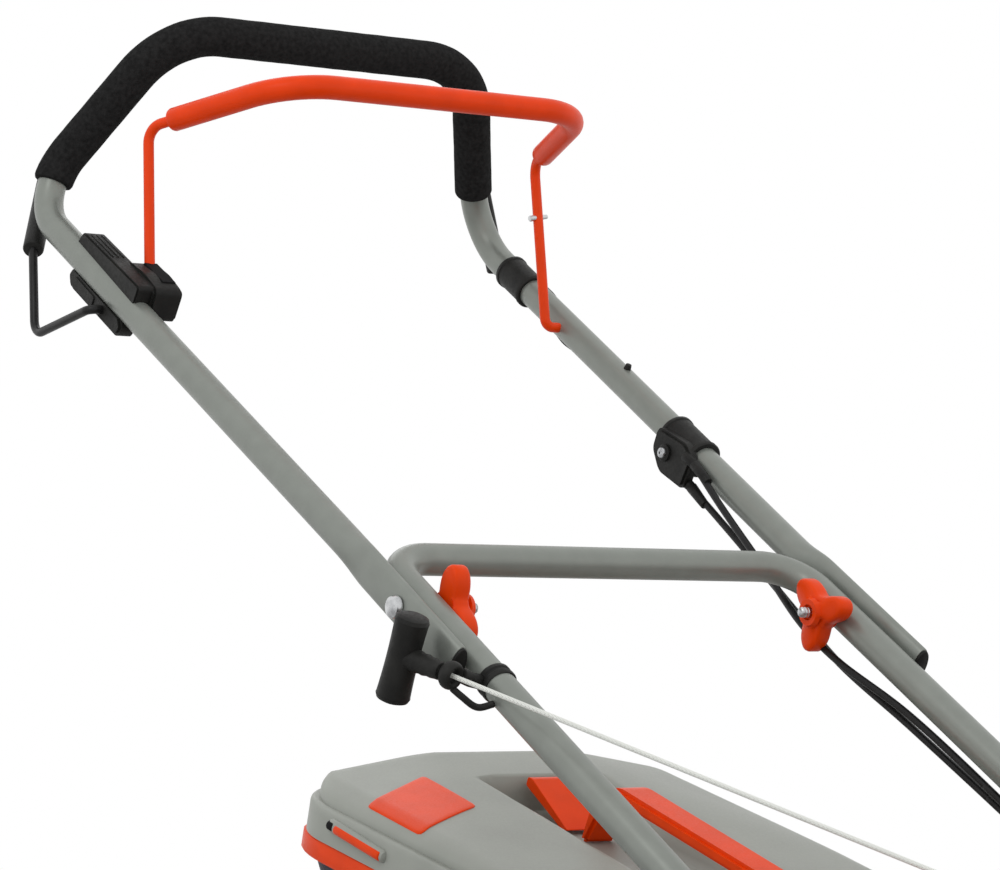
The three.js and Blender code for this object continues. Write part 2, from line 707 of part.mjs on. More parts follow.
function engineCylinder() {
  const barrel = slab("zx", rectangle(146, 204, -34, 34, 12), -640, -548.5);
  const fins = [-560, -573, -586, -599, -612, -625, -638].map((y) => {
    return slab("zx", rectangle(134, 211, -54, 54, 16), y - 3, y + 3);
  });
  return join(barrel, ...fins);
}

function blowerHousing() {
  const shape = (grow) => [
    [-100 + grow, -655 + grow, 26],
    [96 - grow, -655 + grow, 26],
    [112 - grow, -430, 30],
    [80 - grow, -362 - grow, 30],
    [-80 + grow, -362 - grow, 30],
    [-112 + grow, -430, 30],
  ];
  const outside = slab("xy", shape(0), 212.6, HOUSING_Z, 8);
  const inside = slab("xy", shape(4), 200, HOUSING_Z - 5);
  return cut(outside, inside, post(0, DECK.blade_y, 240, 280, 70, 24));
}

function recoilCover() {
  const z = HOUSING_Z + GAP;
  const centre = V(0, DECK.blade_y, z);
  const outer = [[94, 0], [104, 0], [104, 34], [90, 46], [30, 50], [0, 50]];
  const inner = [[0, 45], [84, 40], [94, 30], [94, 0]];
  const cup = turned([...outer, ...inner], Z_AXIS, centre, 32);
  const outward = ROPE_OUTLET.clone().setZ(0).sub(V(0, DECK.blade_y, 0)).normalize();
  const outlet = (along, distance) => ROPE_OUTLET.clone().addScaledVector(along, distance);
  const lug = rod(outlet(outward, -13), outlet(PULL, -1), 9, 12);
  const bore = rod(outlet(PULL, -8), outlet(PULL, 30), ROPE_R + 1, 8);
  return cut(join(cup, lug), bore);
}

const TANK = { x0: 114, x1: 178, y0: -590, y1: -410, z0: 190, z1: 268 };
const FILLER = { x: 146, y: -545 };

function fuelTank() {
  const { x0, x1, y0, y1, z0, z1 } = TANK;
  const outside = slab("xy", rectangle(x0, x1, y0, y1, 18), z0, z1, 6);
  const inside = slab("xy", rectangle(x0 + 4, x1 - 4, y0 + 4, y1 - 4, 16), z0 + 5, z1 - 5);
  const neck = post(FILLER.x, FILLER.y, z1 - 3, z1 + 8, 19, 20);
  return cut(join(outside, neck), inside, post(FILLER.x, FILLER.y, z1 - 20, z1 + 20, 15, 16));
}

function fuelCap() {
  const z = TANK.z1 + 8 + GAP;
  const grip = turned([[0, 0], [23, 0], [24, 3], [23, 14], [17, 18], [0, 18]], Z_AXIS, V(FILLER.x, FILLER.y, z), 24);
  return join(grip, post(FILLER.x, FILLER.y, z - 10, z + 2, 14, 16));
}

function airFilterCover() {
  const outside = slab("yz", rectangle(-600, -478, 176, 262, 16), -172, -114, 6);
  return cut(outside, box(-166, -100, -592, -486, 183, 255));
}

function muffler() {
  const can = slab("yz", rectangle(-640, -560, 140, 184, 14), 60, 128, 5);
  return join(can, rod(V(100, -636, 170), V(100, -654, 166), 9, 14));
}

const plugBoot = () => rod(V(0, -641.5, 176), V(0, -692, 176), 13, 14, 9);

function engine() {
  add("engine_crankcase", crankcase(), MATERIALS.casting);
  add("engine_cylinder", engineCylinder(), MATERIALS.casting);
  add("blower_housing", blowerHousing(), MATERIALS.black);
  add("recoil_cover", recoilCover(), MATERIALS.black);
  add("fuel_tank", fuelTank(), MATERIALS.black);
  add("fuel_cap", fuelCap(), MATERIALS.black);
  add("air_filter_cover", airFilterCover(), MATERIALS.black);
  add("muffler", muffler(), MATERIALS.steel);
  add("spark_plug_boot", plugBoot(), MATERIALS.black);
}

function bladeDrive() {
  const { z, length, width, thick } = BLADE;
  const y = DECK.blade_y;
  const shaft = join(post(0, y, z + thick + GAP, 203, CRANK_R, 16), post(0, y, z + thick + GAP, z + 22, 26, 20));
  add("crankshaft", cut(shaft, post(0, y, 0, z + 40, 5.4, 12)), MATERIALS.steel);
  const bar = slab("xy", rectangle(-length / 2, length / 2, y - width / 2, y + width / 2, 5), z, z + thick);
  const lift = (side) => slab("yz", [
    [y + side * 12, z],
    [y + side * 26, z + 18],
    [y + side * 26, z + 22],
    [y + side * 12, z + thick],
  ], ...between(side, 130, 215));
  add("blade", cut(join(bar, lift(LEFT), lift(RIGHT)), post(0, y, 0, 90, 5.4, 12)), MATERIALS.steel);
  const bolt = join(post(0, y, z - 8, z - GAP, 10, 6), post(0, y, z - 2, z + 36, 4.6, 12));
  add("blade_bolt", bolt, MATERIALS.steel);
}

// ---------------------------------------------------------------- wheels and height adjustment

function wheel(name, side, { y, z, r, inner, outer, rim }) {
  const facet = Math.PI / WHEEL_FACETS; // half a facet, so that one facet lies flat on the ground
  const corner = 1 / Math.cos(facet);
  const drum = rim - 19;
  const tyre = [
    [rim, inner],
    [(r - 8) * corner, inner],
    [r * corner, inner + 7],
    [r * corner, outer - 7],
    [(r - 8) * corner, outer],
    [rim, outer],
    [rim, inner],
  ];
  const disc = [
    [8, inner + 4],
    [22, inner + 4],
    [22, outer - 18],
    [drum, outer - 18],
    [drum, inner + 2],
    [rim - 0.6, inner + 2],
    [rim - 0.6, outer - 2],
    [rim - 9, outer - 2],
    [rim - 13, outer - 10],
    [27, outer - 12],
    [23, outer - 1],
    [8, outer - 1],
    [8, inner + 4],
  ];
  const axis = V(side, 0, 0);
  const turn = (profile) => turned(profile, axis, V(0, y, z), WHEEL_FACETS, facet);
  add(`${name}_tyre_${sideName(side)}`, turn(tyre), MATERIALS.rubber);
  add(`${name}_rim_${sideName(side)}`, turn(disc), MATERIALS.black);
}

// The outline of a lever arm from its pivot to the wheel's axle.
const armOutline = ({ y, z, pivot_y: py, pivot_z: pz }) => [
  [py - 15, pz - 8, 10],
  [y + 2, z - 15, 10],
  [y + 14, z + 3, 10],
  [y + 4, z + 14, 10],
  [py + 2, pz + 15, 10],
  [py - 15, pz + 8, 10],
];

const stubAxle = (side, { y, z, outer }, from) => {
  const cap = pin(side * (outer + GAP), side * (outer + 3), y, z, 11, 16);
  return join(pin(side * from, side * (outer + 1), y, z, 7), cap);
};

const LINK_RISE = 40; // the link's pins sit this far above the arms' pivots
const linkEar = ({ pivot_y: y, pivot_z: z }) => [
  [y - 9, z],
  [y + 9, z],
  [y + 8, z + LINK_RISE + 8, 6],
  [y - 8, z + LINK_RISE + 8, 6],
];

function rearArm(side) {
  const { pivot_y: y, pivot_z: z } = REAR;
  const plate = slab("yz", armOutline(REAR), ...between(side, 221, 227));
  const sleeveOut = pin(side * 195, side * 224, y, z, 9.6, 18);
  const pieces = [plate, sleeveOut, stubAxle(side, REAR, 224)];
  if (side === RIGHT) {
    const lever = [[y - 8, z], [y + 8, z], [y - 13, z + 130, 3], [y - 28, z + 130, 3]];
    pieces.push(slab("yz", lever, -227, -221));
    pieces.push(slab("yz", linkEar(REAR), -227, -221));
    pieces.push(pin(-223, -210, y, z + LINK_RISE, 4, 12));
  }
  return cut(join(...pieces), pin(side * 190, side * 230, y, z, 6.9, 16));
}

function leverGrip() {
  const y = REAR.pivot_y - 21;
  const z = REAR.pivot_z + 130 + GAP;
  return slab("yz", rectangle(y - 12, y + 12, z, z + 34, 7), -233, -217, 4);
}

function heightQuadrant() {
  const { pivot_y: y, pivot_z: z } = REAR;
  const arc = (r, from, to) => Array.from({ length: 7 }, (_, i) => {
    const angle = THREE.MathUtils.degToRad(from + ((to - from) * i) / 6);
    return [y + r * Math.cos(angle), z + r * Math.sin(angle)];
  });
  const sector = slab("yz", [...arc(114, 56, 118), ...arc(88, 118, 56)], -220.4, -217.2);
  const stemOutline = [[y - 46, z - 42, 6], [y - 24, z - 42, 6], [y - 28, z + 92], [y - 52, z + 86]];
  const stem = slab("yz", stemOutline, -220.4, -217.2);
  const foot = pin(-218, -212.4, y - 35, z - 32, 8, 14);
  const notches = [0, 1, 2, 3, 4].map((i) => {
    const angle = THREE.MathUtils.degToRad(98.7 - 8.75 * i);
    return pin(-225, -210, y + 114 * Math.cos(angle), z + 114 * Math.sin(angle), 3.5, 8);
  });
  return cut(join(sector, stem, foot), ...notches);
}

// One shaft across the deck with the two front lever arms and their axle stubs.
function frontAxle() {
  const { pivot_y: y, pivot_z: z } = FRONT;
  const arms = SIDES.flatMap((side) => [
    slab("yz", armOutline(FRONT), ...between(side, 216, 221.5)),
    stubAxle(side, FRONT, 218),
  ]);
  const ear = slab("yz", linkEar(FRONT), -221.5, -216);
  const linkPin = pin(-218, -210, y, z + LINK_RISE, 4, 12);
  return join(pin(-218, 218, y, z, 6.4, 16), ...arms, ear, linkPin);
}

function heightLink() {
  const rear = [REAR.pivot_y, REAR.pivot_z + LINK_RISE];
  const front = [FRONT.pivot_y, FRONT.pivot_z + LINK_RISE];
  const bar = slab("yz", [
    [front[0] - 8, front[1] - 7, 5],
    [rear[0] + 8, rear[1] - 7, 5],
    [rear[0] + 8, rear[1] + 7, 5],
    [front[0] - 8, front[1] + 7, 5],
  ], -215, -211);
  return cut(bar, ...[rear, front].map(([y, z]) => pin(-220, -205, y, z, 4.9, 14)));
}

function driveShaft() {
  const { pivot_y: y, pivot_z: z } = REAR;
  const pinions = SIDES.map((side) => pin(side * 229, side * 246, y, z, 11, 20));
  return join(pin(-246, 246, y, z, 6, 14), ...pinions);
}

function gearbox() {
  const { pivot_y: y, pivot_z: z } = REAR;
  const body = box(-34, 34, y - 12, DECK.rear - 7, 93, 148, 4);
  const boss = pin(-48, 48, y, z, 9.5, 18);
  return cut(join(body, boss), pin(-60, 60, y, z, 6.9, 16));
}

function runningGear() {
  for (const side of SIDES) {
    wheel("rear", side, REAR);
    wheel("front", side, FRONT);
    add(`rear_arm_${sideName(side)}`, rearArm(side), MATERIALS.steel);
  }
  add("height_lever_grip", leverGrip(), MATERIALS.knob);
  add("height_quadrant", heightQuadrant(), MATERIALS.steel);
  add("front_axle", frontAxle(), MATERIALS.steel);
  add("height_link", heightLink(), MATERIALS.steel);
  add("drive_shaft", driveShaft(), MATERIALS.steel);
  add("drive_gearbox", gearbox(), MATERIALS.black);
}

// ---------------------------------------------------------------- grass collector
// Drawn level in its own frame: y runs back along the rim from the mouth, z is square to the rim.

const COLLECTOR = { y: -146, z: 186, long: 668, front: 170, rear: 196 };
const CHANNEL = { half: 44, top: 62, floor: 24, front: 60, rear: 592 };

function collectorPlan(grow, low, high) {
  const { long, front, rear } = COLLECTOR;
  return slab("xy", [
    [-front - grow, -grow, 24],
    [front + grow, -grow, 24],
    [rear + grow, long + grow, 80],
    [-rear - grow, long + grow, 80],
  ], low, high);
}

function lidShell(grow) {
  const high = 57 + grow;
  const across = [
    [0, -230],
    [0, 230],
    [high - 36, 212],
    [high - 17, 164, 20],
    [high, CHANNEL.top],
    [high, -CHANNEL.top],
    [high - 17, -164, 20],
    [high - 36, -212],
  ];
  const along = [[-20, 0], [720, 0], [700, 44], [664, high, 8], [600, high - 4], [-20, high - 46]];
  const section = slab("zx", across, -20, 720);
  return collectorPlan(grow, 0, 80).intersect(section).intersect(slab("yz", along, -240, 240));
}

function collectorLid() {
  const { half, top, floor, front, rear } = CHANNEL;
  const channel = (drop) => {
    const across = [[floor - drop, -half], [floor - drop, half], [90, top + 22], [90, -top - 22]];
    return slab("zx", across, front, rear);
  };
  const skin = 4;
  const inside = cut(lidShell(-skin), channel(skin));
  const lowered = cut(inside, box(-300, 300, -50, 800, -5, -0.01));
  const mouth = box(-130, 130, -10, 30, -5, 7);
  return cut(lidShell(0), channel(0), lowered, mouth);
}

const collectorTrim = () => cut(collectorPlan(-1, -17, -GAP), collectorPlan(-8, -30, 10));

function collectorBag() {
  const side = (inset) => slab("yz", [
    [4 + inset, -17.5 + 2 * inset],
    [10 + inset, -84 + inset, 14],
    [545 - inset, -212 + inset, 50],
    [648 - inset, -130, 50],
    [668 - inset, -17.5 + 2 * inset],
  ], -230, 230);
  const outside = collectorPlan(-9, -240, 0).intersect(side(0));
  const inside = collectorPlan(-13, -240, 0).intersect(side(4));
  const top = box(-150, 150, 60, 600, -60, 0);
  const mouth = box(-130, 130, -30, 40, -74, -24);
  return cut(outside, inside, top, mouth);
}

function carryHandle() {
  const across = 16;
  const under = [[182, 24.5], [196, 36, 8], [206, 47, 10], [470, 66, 10], [488, 61, 8], [504, 24.5]];
  const over = [[512, 24.5], [503, 63, 8], [478, 78, 10], [204, 58, 12], [188, 44, 8], [172, 24.5]];
  return slab("yz", [...under, ...over], -across, across);
}

const LEVEL_FLAP = { y: 583, z: 50 };

function levelFlap() {
  return slab("yz", [[-58, -22], [-52, -24], [4, -3], [3, 4], [-3, 4]], -18, 18);
}

function collector() {
  const group = tiltedGroup(COLLECTOR.y, COLLECTOR.z, SLOPE);
  add("collector_lid", collectorLid(), MATERIALS.lid, group);
  add("collector_trim", collectorTrim(), MATERIALS.orange, group);
  add("collector_bag", collectorBag(), MATERIALS.fabric, group);
  add("collector_handle", carryHandle(), MATERIALS.orange, group);
  const flapGroup = new THREE.Group();
  flapGroup.position.set(0, LEVEL_FLAP.y, LEVEL_FLAP.z);
  group.add(flapGroup);
  add("level_flap", levelFlap(), MATERIALS.orange, flapGroup);
}

// ---------------------------------------------------------------- assembly

upperHandle();
lowerHandle();
deck();
engine();
bladeDrive();
runningGear();
collector();

export default mower;
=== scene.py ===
"""Looks for a walk-behind rotary lawn mower: smooth bent-tube handles with a foam grip and two bails,
moulded controls, rope and cables, a moulded collector lid over a fabric bag, and the running gear below.
Sizes are in millimetres in the frame of the CAD part and are turned into metres as a mesh is made."""

import json
import math
from collections import namedtuple

import bmesh
import bpy
from mathutils import Matrix, Vector, noise

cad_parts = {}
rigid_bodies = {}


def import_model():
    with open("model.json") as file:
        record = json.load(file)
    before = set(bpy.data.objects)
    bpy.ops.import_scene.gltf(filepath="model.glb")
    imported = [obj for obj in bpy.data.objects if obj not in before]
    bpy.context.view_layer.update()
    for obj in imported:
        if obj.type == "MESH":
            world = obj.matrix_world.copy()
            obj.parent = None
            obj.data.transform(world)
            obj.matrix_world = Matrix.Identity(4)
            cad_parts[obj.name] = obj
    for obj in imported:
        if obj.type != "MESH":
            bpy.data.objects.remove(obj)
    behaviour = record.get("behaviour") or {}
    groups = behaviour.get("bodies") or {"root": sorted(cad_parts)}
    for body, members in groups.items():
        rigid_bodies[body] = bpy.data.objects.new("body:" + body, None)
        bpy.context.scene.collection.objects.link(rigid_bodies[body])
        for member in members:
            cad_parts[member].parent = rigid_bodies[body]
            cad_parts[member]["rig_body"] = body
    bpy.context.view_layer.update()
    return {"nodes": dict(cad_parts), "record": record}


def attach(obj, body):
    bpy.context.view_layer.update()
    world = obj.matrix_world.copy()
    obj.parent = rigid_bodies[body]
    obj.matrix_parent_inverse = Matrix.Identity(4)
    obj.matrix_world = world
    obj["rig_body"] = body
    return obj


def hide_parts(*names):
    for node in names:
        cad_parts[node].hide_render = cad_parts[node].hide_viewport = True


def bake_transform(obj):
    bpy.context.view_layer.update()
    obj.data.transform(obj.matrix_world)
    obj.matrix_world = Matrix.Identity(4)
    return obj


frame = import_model()
nodes = frame["nodes"]

MM = 0.001
LEFT, RIGHT = 1, -1
SIDES = (LEFT, RIGHT)
SIDE_NAME = {LEFT: "left", RIGHT: "right"}
V = Vector

# ------------------------------------------------------------------ driving dimensions

TUBE_R = 12.5
FOLD = V((0, 280, 520))
LEG_TILT = math.radians(32.7)
LEG_SPLAY = 0.022
UPPER_LEG_X = 218.6
LOWER_LEG_X = 201
LOWER_END_X = 199
LEG_DIRECTION = V((0, math.cos(LEG_TILT), math.sin(LEG_TILT)))
LEG_UP = V((0, -math.sin(LEG_TILT), math.cos(LEG_TILT)))
GRIP_R = 17
BAIL_WIRE_R, BAIL_GRIP_R = 4.5, 10
DRIVE_WIRE_R, DRIVE_GRIP_R = 3.8, 9
CABLE_R, ROPE_R = 3, 1.8
BLADE_Y, DECK_R, DECK_TOP = -470, 275, 128
RECOIL_TOP = 262.4 + 50
FILLER = (146, -545)
HANDLE_PIVOT = (-164, 235)
COLLECTOR_ORIGIN, SLOPE = V((0, -146, 186)), math.radians(15)


def leg_point(side, s, x, up=0):
    """A point beside a leg: s along it from the fold, x from the centre plane, up above its centre line."""
    return V((side * x, FOLD.y, FOLD.z)) + LEG_DIRECTION * s + LEG_UP * up


def on_upper(side, s, out=0, up=0):
    return leg_point(side, s, UPPER_LEG_X + LEG_SPLAY * s + out, up)


def from_fold(x, y, z):
    return V((x, FOLD.y + y, FOLD.z + z))


def in_collector(point):
    """From the collector's own level frame to the frame of the part."""
    return Matrix.Rotation(SLOPE, 3, "X") @ V(point) + COLLECTOR_ORIGIN


# ------------------------------------------------------------------ meshes


def shade(obj, sharp_angle=38):
    """Smooth shading with hard edges where two faces meet at more than the angle."""
    mesh = obj.data
    bm = bmesh.new()
    bm.from_mesh(mesh)
    bmesh.ops.recalc_face_normals(bm, faces=bm.faces)
    limit = math.radians(sharp_angle)
    for face in bm.faces:
        face.smooth = True
    for edge in bm.edges:
        edge.smooth = len(edge.link_faces) == 2 and edge.calc_face_angle(0) < limit
    bm.to_mesh(mesh)
    bm.free()
    return obj


def piece(name, verts, faces, finish, sharp_angle=38):
    """A mesh object from points in millimetres."""
    mesh = bpy.data.meshes.new(name)
    mesh.from_pydata([tuple(V(p) * MM) for p in verts], [], faces)
    mesh.materials.append(finish.material)
    obj = bpy.data.objects.new(name, mesh)
    bpy.context.scene.collection.objects.link(obj)
    shade(obj, sharp_angle)
    return obj


def joined(name, parts):
    """Several pieces made into one mesh object."""
    bm = bmesh.new()
    for part in parts:
        bm.from_mesh(part.data)
    target = parts[0]
    bm.to_mesh(target.data)
    bm.free()
    for part in parts[1:]:
        bpy.data.objects.remove(part)
    target.name = target.data.name = name
    return target


def bevelled(obj, width, segments=2, angle=35):
    """Rounds the piece's hard edges, in its mesh."""
    bm = bmesh.new()
    bm.from_mesh(obj.data)
    limit = math.radians(angle)
    sharp = [e for e in bm.edges if len(e.link_faces) == 2 and e.calc_face_angle(0) > limit]
    bmesh.ops.bevel(bm, geom=sharp, offset=width * MM, segments=segments, affect="EDGES", clamp_overlap=True)
    bm.to_mesh(obj.data)
    bm.free()
    return shade(obj, 50)


def finished(obj, body, *replaced):
    """Puts a piece on its body, in place of the CAD nodes named."""
    if replaced:
        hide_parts(*replaced)
    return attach(obj, body)


def rings(loops, close_ends=True):
    """Vertices and faces of a skin over loops of points that all have the same count."""
    count = len(loops[0])
    verts = [p for loop in loops for p in loop]
    faces = []
    for i in range(len(loops) - 1):
        for k in range(count):
            a, b = i * count + k, i * count + (k + 1) % count
            faces.append((a, b, b + count, a + count))
    if close_ends:
        faces.append(tuple(range(count))[::-1])
        faces.append(tuple(range(len(verts) - count, len(verts))))
    return verts, faces


def circle(centre, u, v, r, sides):
    return [centre + u * (r * math.cos(a)) + v * (r * math.sin(a))
            for a in (2 * math.pi * (k + 0.5) / sides for k in range(sides))]


def route(corners, arc_steps=10):
    """Points along straight runs joined by arcs. A corner is (point, radius)."""
    points = [V(p) for p, _ in corners]
    path = [points[0]]
    for i, (_, radius) in enumerate(corners[1:-1], 1):
        before = (points[i] - points[i - 1]).normalized()
        after = (points[i + 1] - points[i]).normalized()
        turn = before.angle(after)
        if radius == 0 or turn < 1e-4:
            path.append(points[i])
            continue
        inward = (after - before).normalized()
        centre = points[i] + inward * (radius / math.cos(turn / 2))
        spoke = points[i] - before * (radius * math.tan(turn / 2)) - centre
        path += [centre + spoke * math.cos(a) + before * (radius * math.sin(a))
                 for a in (turn * k / arc_steps for k in range(arc_steps + 1))]
    return path + [points[-1]]


def curved(points, steps):
    """Evenly spaced points on a smooth curve (centripetal Catmull-Rom) through given points."""
    points = [V(p) for p in points]
    ends = [points[0] * 2 - points[1], *points, points[-1] * 2 - points[-2]]
    dense = []
    for p0, p1, p2, p3 in zip(ends, ends[1:], ends[2:], ends[3:]):
        knots = [0.0]
        for a, b in ((p0, p1), (p1, p2), (p2, p3)):
            knots.append(knots[-1] + max((b - a).length, 1e-6) ** 0.5)
        t0, t1, t2, t3 = knots
        for k in range(16):
            t = t1 + (t2 - t1) * k / 16
            a1 = p0.lerp(p1, (t - t0) / (t1 - t0))
            a2 = p1.lerp(p2, (t - t1) / (t2 - t1))
            a3 = p2.lerp(p3, (t - t2) / (t3 - t2))
            b1 = a1.lerp(a2, (t - t0) / (t2 - t0))
            b2 = a2.lerp(a3, (t - t1) / (t3 - t1))
            dense.append(b1.lerp(b2, (t - t1) / (t2 - t1)))
    return resampled(dense + [points[-1]], steps)


def resampled(path, steps):
    """The same path in equal steps of length."""
    lengths = [0.0]
    for a, b in zip(path, path[1:]):
        lengths.append(lengths[-1] + (b - a).length)
    made, i = [], 0
    for k in range(steps + 1):
        want = lengths[-1] * k / steps
        while i < len(path) - 2 and lengths[i + 1] < want:
            i += 1
        span = max(lengths[i + 1] - lengths[i], 1e-9)
        made.append(path[i].lerp(path[i + 1], min(1, (want - lengths[i]) / span)))
    return made


def split_long(path, longest):
    """Adds points so that no stretch is longer than the given length."""
    made = [path[0]]
    for a, b in zip(path, path[1:]):
        count = max(1, math.ceil((b - a).length / longest))
        made += [a.lerp(b, k / count) for k in range(1, count + 1)]
    return made


def sweep(name, path, radius, finish, sides=24, ends=1.2, rule=None):
    """A round bar along a path, its ends rounded over.

    radius is a number or a function of the share of the length.
    """
    path = [V(p) for p in path]
    lengths = [0.0]
    for a, b in zip(path, path[1:]):
        lengths.append(lengths[-1] + (b - a).length)
    total = lengths[-1]
    tangents = []
    for i in range(len(path)):
        a, b = path[max(0, i - 1)], path[min(len(path) - 1, i + 1)]
        tangents.append((b - a).normalized())
    u = tangents[0].orthogonal().normalized()
    loops = []
    radius_at = radius if callable(radius) else lambda share: radius
    for i, (p, t) in enumerate(zip(path, tangents)):
        u = (u - t * u.dot(t)).normalized()
        r = radius_at(lengths[i] / total)
        v = t.cross(u)
        if i == 0:
            loops += [circle(p, u, v, r - ends, sides),
                      circle(p + t * 0.3 * ends, u, v, r - 0.3 * ends, sides)]
            loops.append(circle(p + t * ends, u, v, r, sides))
        elif i == len(path) - 1:
            loops.append(circle(p - t * ends, u, v, r, sides))
            loops += [circle(p - t * 0.3 * ends, u, v, r - 0.3 * ends, sides),
                      circle(p, u, v, r - ends, sides)]
        else:
            loops.append(circle(p, u, v, r, sides))
    if rule:
        loops = [[rule(p) for p in loop] for loop in loops]
    return piece(name, *rings(loops), finish)


def turned(name, profile, axis, centre, finish, sides=48, sharp_angle=38):
    """A profile of (radius, distance along the axis), turned about the axis."""
    axis = V(axis).normalized()
    u = axis.orthogonal().normalized()
    v = axis.cross(u)
    loops = [circle(V(centre) + axis * along, u, v, max(r, 0.02), sides) for r, along in profile]
    closed = (V(profile[0]) - V(profile[-1])).length < 1e-6
    if closed:
        count = sides
        verts = [p for loop in loops[:-1] for p in loop]
        total = len(loops) - 1
        faces = []
        for i in range(total):
            for k in range(count):
                a, b = i * count + k, i * count + (k + 1) % count
                c, d = ((i + 1) % total) * count + (k + 1) % count, ((i + 1) % total) * count + k
                faces.append((a, b, c, d))
        return piece(name, verts, faces, finish, sharp_angle)
    return piece(name, *rings(loops), finish, sharp_angle)


def rounded(corners, steps=6):
    """An outline of [u, v, r] corners as points, each corner rounded over r along both edges."""
    made = []
    count = len(corners)
    for i, corner in enumerate(corners):
        here = V(corner[:2])
        r = corner[2] if len(corner) > 2 else 0
        edges = [V(corners[(i + k) % count][:2]) - here for k in (-1, 1)]
        reach = min(r, *(0.48 * e.length for e in edges))
        if reach < 0.05:
            made.append(here)
            continue
        entry, leave = (here + e.normalized() * reach for e in edges)
        for k in range(steps + 1):
            t = k / steps
            made.append(entry * (1 - t) ** 2 + here * (2 * t * (1 - t)) + leave * t ** 2)
    return made


def slab(name, corners, place, low, high, finish, bevel=1.2):
    """An outline extruded between two heights; place(u, v, w) gives the point. Its edges are rounded."""
    points = rounded(corners)
    loops = [[place(p.x, p.y, w) for p in points] for w in (low, high)]
    obj = piece(name, *rings(loops), finish)
    return bevelled(obj, bevel) if bevel else obj


def across_x(u, v, w):
    return V((w, u, v))


def beside_leg(u, v, w):
    """u along a leg from the fold, v square to it, w across."""
    return V((w, FOLD.y, FOLD.z)) + LEG_DIRECTION * u + LEG_UP * v


def rod(name, a, b, r, finish, far_r=None, sides=24, ends=0.6):
    far = r if far_r is None else far_r
    return sweep(name, [V(a), V(b)], lambda share: r + (far - r) * share, finish, sides, ends)


def screw(name, centre, axis, r, socket=True):
    """A domed zinc screw head, with a small round recess if it has a socket."""
    axis = V(axis).normalized()
    dome = [(0, 0), (r, 0), (r, 0.25 * r), (0.9 * r, 0.48 * r), (0.6 * r, 0.64 * r), (0.25 * r, 0.7 * r)]
    if socket:
        dome += [(0.22 * r, 0.35 * r), (0, 0.3 * r)]
    return turned(name, dome, axis, centre, ZINC, 24)


# ------------------------------------------------------------------ materials


def srgb(r, g, b):
    """A colour read as 0 to 255 screen values, as linear light."""
    return tuple((c / 255 / 12.92) if c <= 10 else ((c / 255 + 0.055) / 1.055) ** 2.4 for c in (r, g, b))


class Surface:
    """A principled material with object-space texture layers. Scales are in features for each metre."""

    def __init__(self, name, roughness, metallic=0.0, specular=0.5, coat=0.0, coat_roughness=0.1, sheen=0.0):
        self.material = bpy.data.materials.new(name)
        self.material.use_nodes = True
        self.tree = self.material.node_tree
        self.shader = self.tree.nodes["Principled BSDF"]
        self.shader.inputs["Roughness"].default_value = roughness
        self.shader.inputs["Metallic"].default_value = metallic
        self.shader.inputs["Specular IOR Level"].default_value = specular
        self.shader.inputs["Coat Weight"].default_value = coat
        self.shader.inputs["Coat Roughness"].default_value = coat_roughness
        self.shader.inputs["Sheen Weight"].default_value = sheen
        self.place = self.node("ShaderNodeTexCoord").outputs["Object"]
        self.normal = None

    def node(self, kind, **inputs):
        made = self.tree.nodes.new(kind)
        for key, value in inputs.items():
            self.feed(made.inputs[key.replace("_", " ")], value)
        return made

    def feed(self, socket, value):
        if isinstance(value, bpy.types.NodeSocket):
            self.tree.links.new(value, socket)
        else:
            socket.default_value = value

    def stretched(self, factors):
        mapping = self.node("ShaderNodeMapping", Vector=self.place)
        mapping.inputs["Scale"].default_value = factors
        return mapping.outputs["Vector"]

    def noise(self, scale, detail=3.0, rough=0.5, place=None):
        made = self.node("ShaderNodeTexNoise", Vector=place or self.place, Scale=scale, Detail=detail)
        made.inputs["Roughness"].default_value = rough
        return made.outputs["Fac"]

    def voronoi(self, scale, place=None, feature="F1"):
        made = self.node("ShaderNodeTexVoronoi", Vector=place or self.place, Scale=scale)
        made.feature = feature
        return made.outputs["Distance"]

    def wave(self, scale, direction="X", place=None):
        made = self.node("ShaderNodeTexWave", Vector=place or self.place, Scale=scale)
        made.bands_direction = direction
        return made.outputs["Fac"]

    def math(self, operation, a, b):
        made = self.node("ShaderNodeMath")
        made.operation = operation
        self.feed(made.inputs[0], a)
        self.feed(made.inputs[1], b)
        return made.outputs[0]

    def ramp(self, factor, stops):
        made = self.node("ShaderNodeValToRGB", Fac=factor)
        ramp = made.color_ramp
        while len(ramp.elements) < len(stops):
            ramp.elements.new(0.5)
        for element, (position, colour) in zip(ramp.elements, stops):
            element.position = position
            element.color = (*colour, 1) if isinstance(colour, tuple) else (colour, colour, colour, 1)
        return made.outputs["Color"]

    def colour(self, factor, dark, light, low=0.3, high=0.7):
        self.feed(self.shader.inputs["Base Color"], self.ramp(factor, [(low, dark), (high, light)]))

    def roughness(self, factor, smooth, rough, low=0.3, high=0.7):
        self.feed(self.shader.inputs["Roughness"], self.ramp(factor, [(low, smooth), (high, rough)]))

    def bump(self, height, strength, depth):
        """Adds relief of a depth in millimetres."""
        made = self.node("ShaderNodeBump", Height=height, Strength=strength)
        made.inputs["Distance"].default_value = depth * MM
        if self.normal:
            self.feed(made.inputs["Normal"], self.normal)
        self.normal = made.outputs["Normal"]
        self.feed(self.shader.inputs["Normal"], self.normal)


def mixed(colour, amount):
    """A colour scaled in brightness."""
    return tuple(min(1.0, c * amount) for c in colour)


